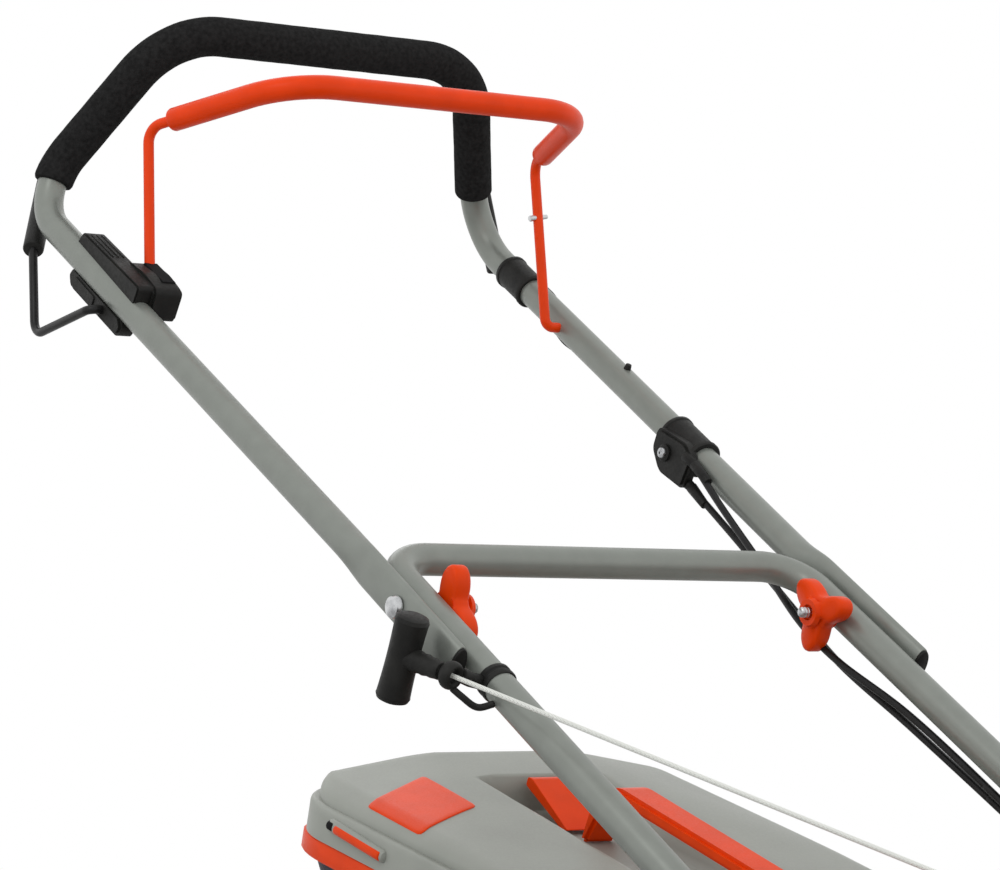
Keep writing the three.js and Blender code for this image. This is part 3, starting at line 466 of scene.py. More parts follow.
def painted_tube():
    made = Surface("grey_tube_paint", 0.36, metallic=0.4, specular=0.3, coat=0.05, coat_roughness=0.25)
    base = srgb(134, 138, 132)
    made.colour(made.noise(60, 4), mixed(base, 0.95), mixed(base, 1.03))
    made.roughness(made.noise(420, 5), 0.32, 0.4)
    made.bump(made.noise(900, 2), 0.04, 0.03)
    return made.material


def foam():
    made = Surface("foam", 0.95, specular=0.06)
    made.colour(made.noise(260, 5), srgb(27, 27, 27), srgb(42, 42, 42))
    made.bump(made.voronoi(1100), 0.55, 0.35)
    made.bump(made.noise(2600, 3), 0.4, 0.2)
    return made.material


def orange_coat():
    made = Surface("orange_coat", 0.42, specular=0.15, coat=0.04, coat_roughness=0.2)
    base = srgb(230, 62, 1)
    made.colour(made.noise(45, 3), mixed(base, 0.93), mixed(base, 1.04))
    made.roughness(made.noise(500, 4), 0.3, 0.44)
    made.bump(made.noise(900, 3), 0.18, 0.12)
    return made.material


def orange_plastic():
    made = Surface("orange_plastic", 0.42, specular=0.14)
    base = srgb(228, 64, 1)
    made.colour(made.noise(38, 3), mixed(base, 0.92), mixed(base, 1.03))
    made.roughness(made.noise(700, 4), 0.3, 0.46)
    made.bump(made.voronoi(2400), 0.16, 0.06)
    return made.material


def black_coat():
    made = Surface("black_coat", 0.34, specular=0.25, coat=0.05, coat_roughness=0.25)
    made.colour(made.noise(70, 3), srgb(18, 18, 18), srgb(30, 30, 30))
    made.roughness(made.noise(600, 4), 0.28, 0.42)
    made.bump(made.noise(1400, 3), 0.14, 0.08)
    return made.material


def black_plastic():
    made = Surface("black_plastic", 0.5, specular=0.2)
    made.colour(made.noise(55, 4), srgb(22, 22, 21), srgb(36, 36, 34))
    made.roughness(made.noise(380, 4), 0.42, 0.6)
    made.bump(made.voronoi(2200), 0.3, 0.1)
    return made.material


def cable_jacket():
    made = Surface("cable_jacket", 0.42, specular=0.25)
    made.colour(made.noise(90, 3), srgb(16, 16, 16), srgb(29, 29, 30))
    made.roughness(made.noise(900, 3), 0.36, 0.5)
    made.bump(made.noise(2600, 2), 0.2, 0.05)
    return made.material


def braided_rope():
    made = Surface("braided_rope", 0.8, specular=0.3, sheen=0.3)
    strands = made.wave(330, "DIAGONAL")
    counter = made.wave(330, "DIAGONAL", made.stretched((-1, 1, 1)))
    braid = made.math("MAXIMUM", strands, counter)
    # the colour follows the braid's relief: the grooves between the strands are painted darker as shade
    made.colour(braid, srgb(176, 178, 172), srgb(236, 238, 232), 0.2, 0.75)
    made.bump(braid, 0.7, 0.3)
    return made.material


def zinc_steel():
    made = Surface("zinc_steel", 0.28, metallic=1.0)
    made.colour(made.noise(160, 5), srgb(168, 170, 172), srgb(214, 215, 216))
    made.roughness(made.noise(240, 5), 0.2, 0.38)
    made.bump(made.noise(1700, 3), 0.15, 0.06)
    return made.material


def blade_steel():
    made = Surface("blade_steel", 0.4, metallic=1.0)
    grain = made.noise(90, 6, 0.7, made.stretched((1, 14, 14)))
    made.colour(grain, srgb(96, 98, 100), srgb(150, 151, 152))
    made.roughness(grain, 0.32, 0.52)
    made.bump(grain, 0.3, 0.1)
    return made.material


def deck_paint():
    made = Surface("deck_paint", 0.32, metallic=0.1, coat=0.5, coat_roughness=0.12)
    base = srgb(222, 62, 10)
    made.colour(made.noise(26, 4), mixed(base, 0.9), mixed(base, 1.04))
    made.roughness(made.noise(300, 4), 0.26, 0.4)
    made.bump(made.noise(420, 3), 0.2, 0.12)
    return made.material


def cast_aluminium():
    made = Surface("cast_aluminium", 0.5, metallic=0.9)
    made.colour(made.noise(110, 5), srgb(138, 140, 142), srgb(178, 180, 181))
    made.roughness(made.noise(320, 5), 0.42, 0.62)
    made.bump(made.voronoi(800), 0.3, 0.2)
    made.bump(made.noise(1500, 3), 0.3, 0.1)
    return made.material


def lid_plastic():
    made = Surface("lid_grey_plastic", 0.42, specular=0.2)
    base = srgb(150, 153, 146)
    made.colour(made.noise(18, 4), mixed(base, 0.95), mixed(base, 1.03))
    made.roughness(made.noise(520, 4), 0.34, 0.46)
    made.bump(made.voronoi(2100), 0.14, 0.07)
    return made.material


def bag_fabric():
    made = Surface("bag_fabric", 0.85, specular=0.2, sheen=0.25)
    warp = made.wave(210, "X")
    weft = made.wave(210, "Z", made.stretched((1, 1, 1)))
    weave = made.math("MULTIPLY", warp, weft)
    made.colour(made.noise(45, 4), srgb(20, 24, 36), srgb(36, 41, 56))
    made.roughness(made.noise(200, 3), 0.78, 0.92)
    made.bump(weave, 0.5, 0.35)
    made.bump(made.noise(24, 3), 0.3, 1.4)
    return made.material


def tyre_rubber():
    made = Surface("tyre_rubber", 0.75, specular=0.35)
    made.colour(made.noise(60, 5), srgb(24, 24, 24), srgb(44, 43, 42))
    made.roughness(made.noise(210, 4), 0.62, 0.85)
    made.bump(made.noise(900, 4), 0.35, 0.18)
    return made.material


# near-black colour painted as the shade inside holes, slots and pockets
def painted_hole_shade():
    made = Surface("painted_hole_shade", 0.8, specular=0.2)
    made.colour(made.noise(80, 3), srgb(8, 8, 9), srgb(16, 16, 17))
    made.bump(made.noise(700, 3), 0.2, 0.1)
    return made.material


Finish = namedtuple("Finish", "slot material")  # a material and a material slot name from model.json

TUBE = Finish("grey_tube", painted_tube())
FOAM = Finish("foam", foam())
ORANGE_COAT = Finish("orange_coat", orange_coat())
ORANGE = Finish("orange_plastic", orange_plastic())
BLACK_COAT = Finish("black_coat", black_coat())
BLACK = Finish("black_plastic", black_plastic())
JACKET = Finish("cable_jacket", cable_jacket())
ROPE = Finish("rope", braided_rope())
ZINC = Finish("zinc_steel", zinc_steel())
BLADE_STEEL = Finish("blade_steel", blade_steel())
DECK_PAINT = Finish("deck_paint", deck_paint())
CASTING = Finish("engine_casting", cast_aluminium())
LID = Finish("lid_grey", lid_plastic())
FABRIC = Finish("bag_fabric", bag_fabric())
RUBBER = Finish("tyre", tyre_rubber())
# the painted shade inside holes, slots and pockets
HOLE_SHADE = Finish("black_plastic", painted_hole_shade())

FINISHES = {finish.slot: finish for finish in (
    TUBE, FOAM, ORANGE_COAT, ORANGE, BLACK_COAT, BLACK, JACKET, ROPE, ZINC, BLADE_STEEL,
    DECK_PAINT, CASTING, LID, FABRIC, RUBBER,
)}
NODE_SLOT = {part["node"]: part["material_slot"] for part in frame["record"]["subparts"]}


# ------------------------------------------------------------------ upper handle

BEND_S = 661
TOP_CORNER = (155, 452, 496)
BEND_R = 50
UPPER_END_S, FLAT_TO_S, ROUND_FROM_S = -80, 55, 95
ARC_STEPS = 16
FLAT_X = 222


def top_corner(side):
    return from_fold(side * TOP_CORNER[0], TOP_CORNER[1], TOP_CORNER[2])


def towards(a, b, distance):
    return a + (b - a).normalized() * distance


def upper_corners(side):
    bend = on_upper(side, BEND_S)
    leg = [(on_upper(side, s), 0) for s in (UPPER_END_S, FLAT_TO_S)]
    leg += [(on_upper(side, s), 0) for s in range(FLAT_TO_S + 5, ROUND_FROM_S + 5, 5)]
    return leg + [(bend, BEND_R), (top_corner(side), 75)]


def upper_path():
    return route(upper_corners(RIGHT) + upper_corners(LEFT)[::-1], ARC_STEPS)


def pressed(point):
    """Presses the lower end of an upper leg flat."""
    rel = point - FOLD
    s = rel.y * LEG_DIRECTION.y + rel.z * LEG_DIRECTION.z
    if s >= ROUND_FROM_S:
        return point
    share = max(0.0, min(1.0, (s - FLAT_TO_S) / (ROUND_FROM_S - FLAT_TO_S)))
    share = share * share * (3 - 2 * share)
    side = math.copysign(1, point.x)
    out = side * point.x - (UPPER_LEG_X + LEG_SPLAY * s)
    centre = FLAT_X + (UPPER_LEG_X + LEG_SPLAY * s - FLAT_X) * share
    up = rel.y * LEG_UP.y + rel.z * LEG_UP.z
    made = point + LEG_UP * (up * (1.3 + (1 - 1.3) * share - 1))
    made.x = side * (centre + out * (0.56 + (1 - 0.56) * share))
    return made


def upper_tube():
    tube = sweep("upper_tube", upper_path(), TUBE_R, TUBE, sides=40, rule=pressed)
    finished(tube, "upper_handle", "upper_handle_tube")
    for side in SIDES:
        start = on_upper(side, UPPER_END_S - 2.5)
        plug = sweep(f"tube_end_plug_{SIDE_NAME[side]}",
                     [start, on_upper(side, UPPER_END_S + 1)], TUBE_R - 0.8,
                     BLACK, sides=32, rule=pressed)
        finished(plug, "upper_handle")
    nib = on_upper(LEFT, 383, 0, TUBE_R - 1)
    finished(rod("leg_stud", nib, nib + LEG_UP * 5.5, 3.4, BLACK, 2.6), "upper_handle")


def foam_grip():
    whole = upper_path()
    start = len(upper_corners(RIGHT)) - 2 + ARC_STEPS * 3 // 4  # three quarters of the way round the bend
    path = split_long(whole[start - 2:len(whole) - start - 3], 6)  # pushed on a little off centre

    def radius(share):
        return GRIP_R + 0.25 * noise.noise(V((share * 40, 0, 0)))

    grip = sweep("foam_grip_sleeve", path, radius, FOAM, sides=40, ends=3)
    finished(grip, "upper_handle", "foam_grip")


BRAKE_TOP = (199, 415, 406)
BRAKE_CORNER = (148, 273, 430)
BAIL_PIVOT_S = 480


def brake_bail():
    def half(side):
        top = from_fold(side * BRAKE_TOP[0], BRAKE_TOP[1], BRAKE_TOP[2])
        corner = from_fold(side * BRAKE_CORNER[0], BRAKE_CORNER[1], BRAKE_CORNER[2])
        foot = [(on_upper(side, BAIL_PIVOT_S, -6), 0), (on_upper(side, BAIL_PIVOT_S, -26), 8)]
        return foot + [(top, 15), (towards(top, corner, 26), 0), (corner, 62)]

    path = route(half(RIGHT) + half(LEFT)[::-1], 12)
    wire = sweep("brake_bail_wire", path, BAIL_WIRE_R, ORANGE_COAT, sides=20)
    finished(wire, "brake_bail", "engine_brake_bail")
    first = towards(from_fold(-BRAKE_TOP[0], *BRAKE_TOP[1:]),
                    from_fold(-BRAKE_CORNER[0], *BRAKE_CORNER[1:]), 26)
    start = min(range(len(path)), key=lambda i: (path[i] - first).length)
    grip = sweep("brake_bail_sleeve", split_long(path[start:len(path) - start], 12), BAIL_GRIP_R,
                 ORANGE_COAT, sides=28, ends=2.4)
    finished(grip, "brake_bail", "engine_brake_bail_grip")
    pin = rod("bail_wire_pin", from_fold(191, 411, 356), from_fold(210, 411, 359), 2.8, ZINC, 2)
    finished(pin, "brake_bail")


DRIVE_PIVOT = (420.7, 251.7)


def drive_bail():
    y, z = DRIVE_PIVOT
    near_foot = [((-235, y, z), 0), ((-251, y, z), 7), ((-248, 519, 237), 14)]
    grip_run = [((-242, 534, 311), 0), ((-189, 600, 395), 50), ((-123, 528, 508), 60), ((195, 533, 508), 60),
                ((264, 564, 326), 0)]
    far_foot = [((265, y, z), 7), ((244, y, z), 0)]
    path = route([(from_fold(*p), r) for p, r in near_foot + grip_run + far_foot], 12)
    wire = sweep("drive_bail_wire", path, DRIVE_WIRE_R, BLACK_COAT, sides=20)
    finished(wire, "drive_bail", "drive_bail")
    ends = [from_fold(*grip_run[k][0]) for k in (0, -1)]
    low, high = (min(range(len(path)), key=lambda i, end=end: (path[i] - end).length) for end in ends)
    grip = sweep("drive_bail_sleeve", split_long(path[low:high + 1], 12),
                 DRIVE_GRIP_R, BLACK, sides=28, ends=2)
    finished(grip, "drive_bail", "drive_bail_grip")


def leg_slab(name, side, corners, x0, x1, finish=BLACK, bevel=1.6):
    low, high = (x0, x1) if side == LEFT else (-x1, -x0)
    return slab(name, corners, beside_leg, low, high, finish, bevel)


def leg_collar(name, side, s0, s1, r, x=None):
    """A band round a leg, a little thicker at its rims."""
    point = (lambda s: on_upper(side, s)) if x is None else (lambda s: leg_point(side, s, x))
    start, end = point(s0), point(s1)
    axis = (end - start).normalized()
    length = (end - start).length
    profile = [(TUBE_R + 0.3, 0), (r - 0.8, 0), (r, 1.2), (r, 4), (r - 0.9, 5), (r - 0.9, length - 5),
               (r, length - 4), (r, length - 1.2), (r - 0.8, length),
               (TUBE_R + 0.3, length), (TUBE_R + 0.3, 0)]
    return turned(name, profile, axis, start, BLACK, 40)


def control_housing():
    cap = leg_slab("control_cap", RIGHT, [[452, 7, 3], [564, 8, 3], [560, 22, 6], [505, 24, 4], [452, 26, 5]],
                   216, 236, bevel=3)
    inner = leg_slab("control_block", RIGHT, [[448, -2, 4], [466, -8, 5], [490, -8, 5],
                                              [504, 8, 5], [504, 25, 8],
                                              [474, 28, 5], [448, 26, 7]], 194, 222, bevel=2.2)
    ridges = [leg_slab("control_ridge", RIGHT, [[510, 22, 0], [554, 21, 0], [554, 22.6, 0], [510, 24.6, 0]],
                       x, x + 1.8, bevel=0.5) for x in (220, 225, 230)]
    finished(joined("control_shell", [cap, inner, *ridges]), "upper_handle", "control_housing")
    # a near-black plate in the control's pocket, painted as the shade inside it
    pocket = leg_slab("control_pocket_shade", RIGHT, [[461, 18, 3], [497, 18, 3], [497, 27.2, 1], [461, 28.2, 1]],
                      196.5, 209.5, HOLE_SHADE, bevel=0.6)
    finished(pocket, "upper_handle")
    for k, s in enumerate((456, 497)):
        spot = leg_point(RIGHT, s, 194, 14)
        finished(screw(f"control_screw_{k}", spot, (1, 0, 0), 3.2), "upper_handle")


def drive_cable_housing():
    body = leg_slab("cable_box", RIGHT, [[458, -24, 5], [548, -25, 4], [556, -16, 4], [552, -7, 3],
                                         [462, -7, 3], [454, -14, 4]], 223, 240, bevel=2.4)
    panel = leg_slab("cable_box_panel", RIGHT, [[504, -21, 3], [542, -22, 3], [548, -16, 3], [542, -11, 3],
                                                [504, -11, 3]], 239, 241, bevel=0.8)
    finished(joined("cable_box_shell", [body, panel]), "upper_handle", "drive_cable_housing")


def drive_bail_bracket():
    band = leg_collar("bail_band", LEFT, 548, 590, TUBE_R + 3.4)
    ear = leg_slab("bail_ear", LEFT, [[480, -24, 6], [500, -26, 6], [598, -12, 4], [598, 4, 4], [542, 4, 4],
                                      [480, -9, 5]], 243, 251.5, bevel=2)
    finished(joined("bail_bracket_shell", [band, ear]), "upper_handle", "drive_bail_bracket")
    pin_at = from_fold(251, *DRIVE_PIVOT)
    finished(turned("bail_pin_washer", [(4.2, 0), (9, 0), (9, 1.4), (4.2, 1.4), (4.2, 0)], (1, 0, 0), pin_at,
                    ZINC, 32), "upper_handle")


def cable_clamp():
    band = leg_collar("clamp_band", LEFT, 244, 292, TUBE_R + 4.5)
    boss = leg_slab("clamp_boss", LEFT, [[236, -24, 5], [272, -27, 5], [290, -14, 6], [292, 6, 6],
                                         [250, 12, 6], [236, 3, 4]], 203, 215, bevel=2.4)
    sockets = [rod("clamp_socket", leg_point(LEFT, 247, x, up), leg_point(LEFT, 233, x, up), 5.2, BLACK, 4.4)
               for x, up in ((206, 2), (212, -20))]
    finished(joined("clamp_shell", [band, boss, *sockets]), "upper_handle", "cable_clamp")
    spot = leg_point(LEFT, 270, 203, -8)
    seat = turned("clamp_screw_seat", [(0, 0), (7.4, 0), (7.4, 2), (6, 3), (0, 3)],
                  (-1, 0, 0), spot, BLACK, 32)
    finished(seat, "upper_handle")
    finished(screw("clamp_screw", spot + V((-3, 0, 0)), (-1, 0, 0), 4.6), "upper_handle")




# ------------------------------------------------------------------ lower handle

CROSSBAR_S, LOWER_END_S = 70, -550
KNOB_R = 33


def lower_tube():
    def half(side):
        return [(leg_point(side, LOWER_END_S, LOWER_END_X), 0),
                (leg_point(side, CROSSBAR_S, LOWER_LEG_X), 38)]

    path = route(half(RIGHT) + half(LEFT)[::-1], 14)
    tube = sweep("lower_tube", path, TUBE_R, TUBE, sides=40)
    finished(tube, "lower_handle", "lower_handle_tube")


def handle_bolt(side):
    """The thread end pokes out of the knob; the domed head is outside the upper leg."""
    name = SIDE_NAME[side]
    y, z = FOLD.y, FOLD.z
    inward, outward = (-side, 0, 0), (side, 0, 0)
    shank = rod(f"bolt_shank_{name}", (side * 158, y, z), (side * 232, y, z), 4, ZINC, ends=1.4)
    head = screw(f"bolt_head_{name}", (side * 229.5, y, z), outward, 9, socket=False)
    thread = [(4.25 if k % 2 else 3.7, k * 1.25) for k in range(9)]
    tip = turned(f"bolt_thread_{name}", [(0, 0), *thread, (2.6, 10.6), (0, 11)], inward, (side * 168, y, z),
                 ZINC, 28)
    finished(joined(f"carriage_bolt_{name}", [shank, head, tip]), "lower_handle", f"handle_bolt_{name}")


def handle_knob(side, first_lobe):
    """Three rounded lobes round a hub: the radius of each layer follows the angle."""
    name = SIDE_NAME[side]
    sides = 96

    def lobe_radius(angle, share):
        wave = 0.5 + 0.5 * math.cos(3 * (angle - math.radians(first_lobe)))
        return 14 + (KNOB_R - 14) * wave ** 1.5 * share

    def loop(x, share, inset=0):
        made = []
        for k in range(sides):
            angle = 2 * math.pi * k / sides
            r = lobe_radius(angle, share) - inset
            made.append(V((side * x, FOLD.y - r * math.cos(angle), FOLD.z + r * math.sin(angle))))
        return made

    def ring(x, r):
        return [V((side * x, FOLD.y - r * math.cos(a), FOLD.z + r * math.sin(a)))
                for a in (2 * math.pi * k / sides for k in range(sides))]

    loops = [ring(187.5, 11), ring(187.5, 13), loop(186.6, 1, 2.4), loop(185.2, 1, 0.6), loop(183.6, 1),
             loop(175, 1), loop(173, 1, 0.8), loop(171.6, 1, 3), loop(171, 1, 7),
             ring(169, 12), ring(165, 10.5),
             ring(165, 6.4), ring(168, 6)]
    verts, faces = rings(loops)
    body = piece(f"knob_body_{name}", verts, faces, ORANGE, 50)
    finished(body, f"knob_{name}", f"handle_knob_{name}")


ROPE_OUTLET, ROPE_GUIDE = V((-75, -388, 280)), V((-240, 194, 470))
PULL = (ROPE_GUIDE - ROPE_OUTLET).normalized()


def along_rope(distance):
    return ROPE_GUIDE + PULL * distance


def rope_guide():
    band = leg_collar("guide_band", RIGHT, -109, -97, TUBE_R + 1.6, 200.3)
    arm = sweep("guide_arm",
                route([((-212, 196, 465), 0), ((-222, 196, 467), 3), ((-231, 194, 470), 0)]), 5.6,
                BLACK, sides=20)
    eye = [(7.5 + 3.2 * math.cos(a), 5 * math.sin(a)) for a in (2 * math.pi * k / 20 for k in range(21))]
    ring = turned("guide_eye", eye, PULL, ROPE_GUIDE, BLACK, 40)
    below = ROPE_GUIDE + V((2, 2, -9))
    end = leg_point(RIGHT, -112, 200.3) + V((-11, -5, -10))
    loop = [below, below + V((5, -5, -6)), below.lerp(end, 0.6) + V((0, 0, -7)), end]
    tail = sweep("guide_tail", curved(loop, 36), 2.6, BLACK, sides=16, ends=1)
    finished(joined("rope_guide_shell", [band, arm, ring, tail]), "lower_handle", "rope_guide")


def starter_grip():
    bar = sweep("grip_bar", split_long([V((-252, 224, 513)), V((-252, 252, 452))], 4),
                lambda share: 12 + 1.1 * (2 * share - 1) ** 2, BLACK, sides=32, ends=4)
    stem = sweep("grip_stem", split_long([along_rope(48), along_rope(9)], 4),
                 lambda share: 9.4 - 2.6 * share + 0.5 * math.cos(share * 30), BLACK,
                 sides=28, ends=1.5)
    finished(joined("pull_grip", [bar, stem]), "starter_grip", "starter_grip")


def starter_rope():
    rope = sweep("starter_rope_line", split_long([ROPE_OUTLET, along_rope(58)], 7), ROPE_R, ROPE, sides=14,
                 ends=0.4)
    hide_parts("starter_rope")
    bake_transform(rope)


ENGINE_STOP_ROUTE = [(234.5, 206, 2), (180, 203, -8), (100, 198, -19), (20, 186, -25), (-30, 186, -26),
                     (-120, 193, -20), (-320, 194, -19), (-440, 183, -14)]
DRIVE_ROUTE = [(234.5, 212, -20), (150, 212, -27), (60, 206, -32), (-20, 200, -35), (-120, 200, -31),
               (-300, 201, -28), (-440, 196, -27)]


SEAM_S = -220  # where each cable is cut in two pieces


def bend_across(line, from_s, to_s):
    """Bakes the line's transform into its mesh. The points beside the left leg at from_s and to_s are worked
    out but go nowhere.
    """
    low, high = leg_point(LEFT, to_s, 195), leg_point(LEFT, from_s, 195)
    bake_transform(line)


def cables():
    """Both cables leave the clamp on the left leg and run down to the engine and to the gearbox."""
    engine_end = [(176, -190, 252), (120, -300, 238), (84, -352, 226)]
    drive_end = [(186, -140, 220), (182, -160, 186), (172, -160, 150), (150, -160, 120), (90, -159, 104),
                 (54, -159, 101), (42, -172, 100), (40, -190, 100)]
    for name, node, leg_part, rest in (("engine_stop_line", "engine_stop_cable",
                                        ENGINE_STOP_ROUTE, engine_end),
                                       ("drive_line", "drive_cable", DRIVE_ROUTE, drive_end)):
        points = [leg_point(LEFT, s, x, up) for s, x, up in leg_part] + [V(p) for p in rest]
        path = curved(points, 180)
        seam = min(range(len(path)), key=lambda i: (path[i] - leg_point(LEFT, SEAM_S, 195)).length)
        upper = sweep(f"{name}_upper", path[:seam + 1], CABLE_R, JACKET, sides=18, ends=0.02)
        lower = sweep(f"{name}_lower", path[seam:], CABLE_R, JACKET, sides=18, ends=0.02)
        for line in (upper, lower):
            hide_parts(node)
        bend_across(upper, 130, -70)
        bend_across(lower, -380, -500)
    for k, (x, up) in enumerate(((206, 2), (212, -20))):
        start, end = leg_point(LEFT, 233, x, up), leg_point(LEFT, 208, x - 0.8, up - 3)
        finished(rod(f"cable_boot_{k}", start, end, 4.9, BLACK, 3.9), "upper_handle")


# ------------------------------------------------------------------ grass collector

LONG, FRONT_HALF, REAR_HALF = 668, 170, 196
MOUTH_CORNER, REAR_CORNER = 24, 64  # the CAD part rounds the rear corners over 80
CHANNEL = {"half": 44, "top": 62, "floor": 24, "front": 60, "rear": 592}
LID_HIGH = 57
LEDGE, LEDGE_Z = 8, 26  # a ledge this far in from the lid's edge and this high runs round its skirt


def spread(a, b, count):
    return [a + (b - a) * k / count for k in range(count)]


def soft_min(a, b, radius):
    """The lower of two heights, rounded where they cross."""
    gap = max(radius - abs(a - b), 0.0)
    return min(a, b) - gap * gap / (4 * radius)


def between(x, points):
    """Piecewise straight interpolation through (x, value) points."""
    for (x0, y0), (x1, y1) in zip(points, points[1:]):
        if x <= x1:
            return y0 + (y1 - y0) * max(0.0, (x - x0) / (x1 - x0))
    return points[-1][1]


def half_width(y, grow=0):
    """Half the collector's width at a distance from its mouth, with its rounded corners."""
    base = FRONT_HALF + (REAR_HALF - FRONT_HALF) * y / LONG + grow
    for edge, r in ((-grow, MOUTH_CORNER), (LONG + grow, REAR_CORNER)):
        near = abs(y - edge)
        if near < r:
            base -= r - math.sqrt(max(0.0, r * r - (r - near) ** 2))
    return base


def lid_height(x, y):
    x = abs(x)
    section = between(x, [(0, LID_HIGH), (62, LID_HIGH), (164, LID_HIGH - 17),
                          (212, LID_HIGH - 36), (230, 0)])
    profile = between(y, [(-20, 11), (600, 53), (664, 57), (700, 44), (720, 0)])
    high = soft_min(section, profile, 5)
    slope = CHANNEL["floor"] + max(0, x - CHANNEL["half"]) * 66 / 40
    slope += max(0, CHANNEL["front"] - y) * 7 + max(0, y - CHANNEL["rear"]) * 7
    return soft_min(high, slope, 5)


def lid_top(x, y, edge):
    """The lid's height where the nearest edge is this far away: a rounded skirt, a ledge and the dome."""
    if edge < LEDGE:
        near = min(edge, 3)
        return max(1.0, min(lid_height(x, y) - 5, LEDGE_Z) - (3 - math.sqrt(9 - (3 - near) ** 2)))
    near = min(edge - LEDGE, 9)
    return max(1.0, lid_height(x, y) - (9 - math.sqrt(81 - (9 - near) ** 2)) * 0.5)


def collector_lid():
    border = [0, 0.6, 1.5, 3, 5, 7, LEDGE - 0.1, LEDGE + 0.1, 9, 10.5, 13]
    rows = border + spread(15, 50, 5) + spread(50, 66, 8) + spread(66, 580, 56)
    rows += spread(580, 604, 12) + spread(604, LONG - 15, 14) + [LONG - e for e in reversed(border)]
    inner = [0, 12, 24, 34, 40, 44, 47, 51, 55, 59, 62, 65, 69, 75]
    verts, width = [], 0
    for y in rows:
        w = half_width(y)
        crease = min(164, w - 23)
        xs = inner + spread(75, crease - 8, 8)[1:] + spread(crease - 8, w - 14, 6)
        xs += [w - e for e in reversed(border)]
        xs = [-x for x in reversed(xs[1:])] + xs
        width = len(xs)
        for x in xs:
            verts.append(V((x, y, lid_top(x, y, min(w - abs(x), y, LONG - y)))))
    faces = []
    for j in range(len(rows) - 1):
        for i in range(width - 1):
            a = j * width + i
            faces.append((a, a + 1, a + width + 1, a + width))
    # the skirt: the boundary carried straight down to the rim
    last = len(rows) - 1
    skirt = [i for i in range(width)] + [j * width + width - 1 for j in range(1, last + 1)]
    skirt += [last * width + i for i in range(width - 2, -1, -1)]
    skirt += [j * width for j in range(last - 1, 0, -1)]
    start = len(verts)
    verts += [V((verts[i].x, verts[i].y, 0)) for i in skirt]
    for k in range(len(skirt)):
        n = (k + 1) % len(skirt)
        faces.append((skirt[n], skirt[k], start + k, start + n))
    obj = piece("collector_shell", [in_collector(p) for p in verts], faces, LID, 60)
    thick = obj.modifiers.new("wall", "SOLIDIFY")
    thick.thickness = 3 * MM
    thick.offset = -1
    return finished(obj, "collector", "collector_lid")


def rim_loop(grow, z, count=200):
    """Points round the rim at a height, at the same shares of the outline for every loop."""
    corners = [(-FRONT_HALF - grow, -grow, MOUTH_CORNER), (FRONT_HALF + grow, -grow, MOUTH_CORNER),
               (REAR_HALF + grow, LONG + grow, REAR_CORNER), (-REAR_HALF - grow, LONG + grow, REAR_CORNER)]
    points = [V((p.x, p.y, z)) for p in rounded(corners, 10)]
    return resampled(points + points[:1], count)[:-1]


def collector_trim():
    section = [(-1, -2), (-1, -15), (-2, -16.6), (-5, -17), (-8, -15.5), (-8, -2), (-6.6, -0.5), (-2.2, -0.5)]
    loops = [[in_collector(p) for p in rim_loop(grow, z)] for grow, z in section]
    verts, faces = rings(loops + loops[:1], close_ends=False)
    count = len(loops[0])
    total = len(loops) * count
    verts, faces = verts[:total], [tuple(i % total for i in face) for face in faces]
    return finished(piece("rim_trim", verts, faces, ORANGE), "collector", "collector_trim")


def bag_depth(y):
    return between(y, [(0, -70), (10, -84), (545, -212), (600, -185), (648, -130), (676, -60)])


def collector_bag():
    """A sewn bag hung from the rim: it draws in under the trim, bellies between its seams and sags below."""
    levels = 30
    top = rim_loop(-9, -17.5)
    loops = []
    for k in range(levels + 1):
        t = k / levels
        loop = []
        for i, p in enumerate(top):
            tuck = 1 - 0.04 * math.sin(min(t * 3, 1) * math.pi)
            inward = math.cos(t * math.pi / 2) ** 0.32 if t < 1 else 0.0
            spot_y = 320 + (p.y - 320) * (0.35 + 0.65 * inward) * tuck
            z = -17.5 + (bag_depth(spot_y) + 17.5) * math.sin(t * math.pi / 2) ** 0.9
            centre = V((0, 320, z))
            wrinkle = noise.noise(V((p.x * 0.018, p.y * 0.018, z * 0.03))) * 5 * math.sin(t * math.pi)
            scale = (0.35 + 0.65 * inward) * tuck
            flat_point = V((p.x * scale, centre.y + (p.y - centre.y) * scale, z))
            outward = V((p.x, p.y - 320, 0)).normalized()
            loop.append(flat_point + outward * (wrinkle - 3 * math.sin(t * math.pi)))
        loops.append(loop)
    verts, faces = rings([[in_collector(p) for p in loop] for loop in loops], close_ends=False)
    count = len(top)
    last = (len(loops) - 1) * count
    centre_z = sum((loops[-1][i].z for i in range(count)), 0.0) / count
    verts.append(in_collector((0, 330, centre_z - 6)))
    for i in range(count):
        faces.append((last + i, last + (i + 1) % count, len(verts) - 1))
    bag = piece("bag_cloth", verts, faces, FABRIC, 80)
    thick = bag.modifiers.new("cloth", "SOLIDIFY")
    thick.thickness = 1.4 * MM
    thick.offset = -1
    finished(bag, "collector", "collector_bag")
    for k, (level, bead) in enumerate(((3, 2.0), (12, 1.6))):
        path = [in_collector(p + V((p.x, p.y - 320, 0)).normalized() * 0.8) for p in loops[level]]
        seam = sweep(f"bag_seam_{k}", path + path[:1], bead, FABRIC, sides=10, ends=0.4)
        finished(seam, "collector")


def in_lid(u, v, w):
    """u back along the rim, v square to it, w across."""
    return in_collector((w, u, v))


def carry_handle():
    under = [[182, 24.5], [196, 36, 8], [206, 47, 10], [470, 66, 10], [488, 61, 8], [504, 24.5]]
    over = [[512, 24.5], [503, 63, 8], [478, 78, 10], [204, 58, 12], [188, 44, 8], [172, 24.5]]
    strap = slab("handle_strap", under + over, in_lid, -16, 16, ORANGE, bevel=3)
    finished(strap, "collector", "collector_handle")


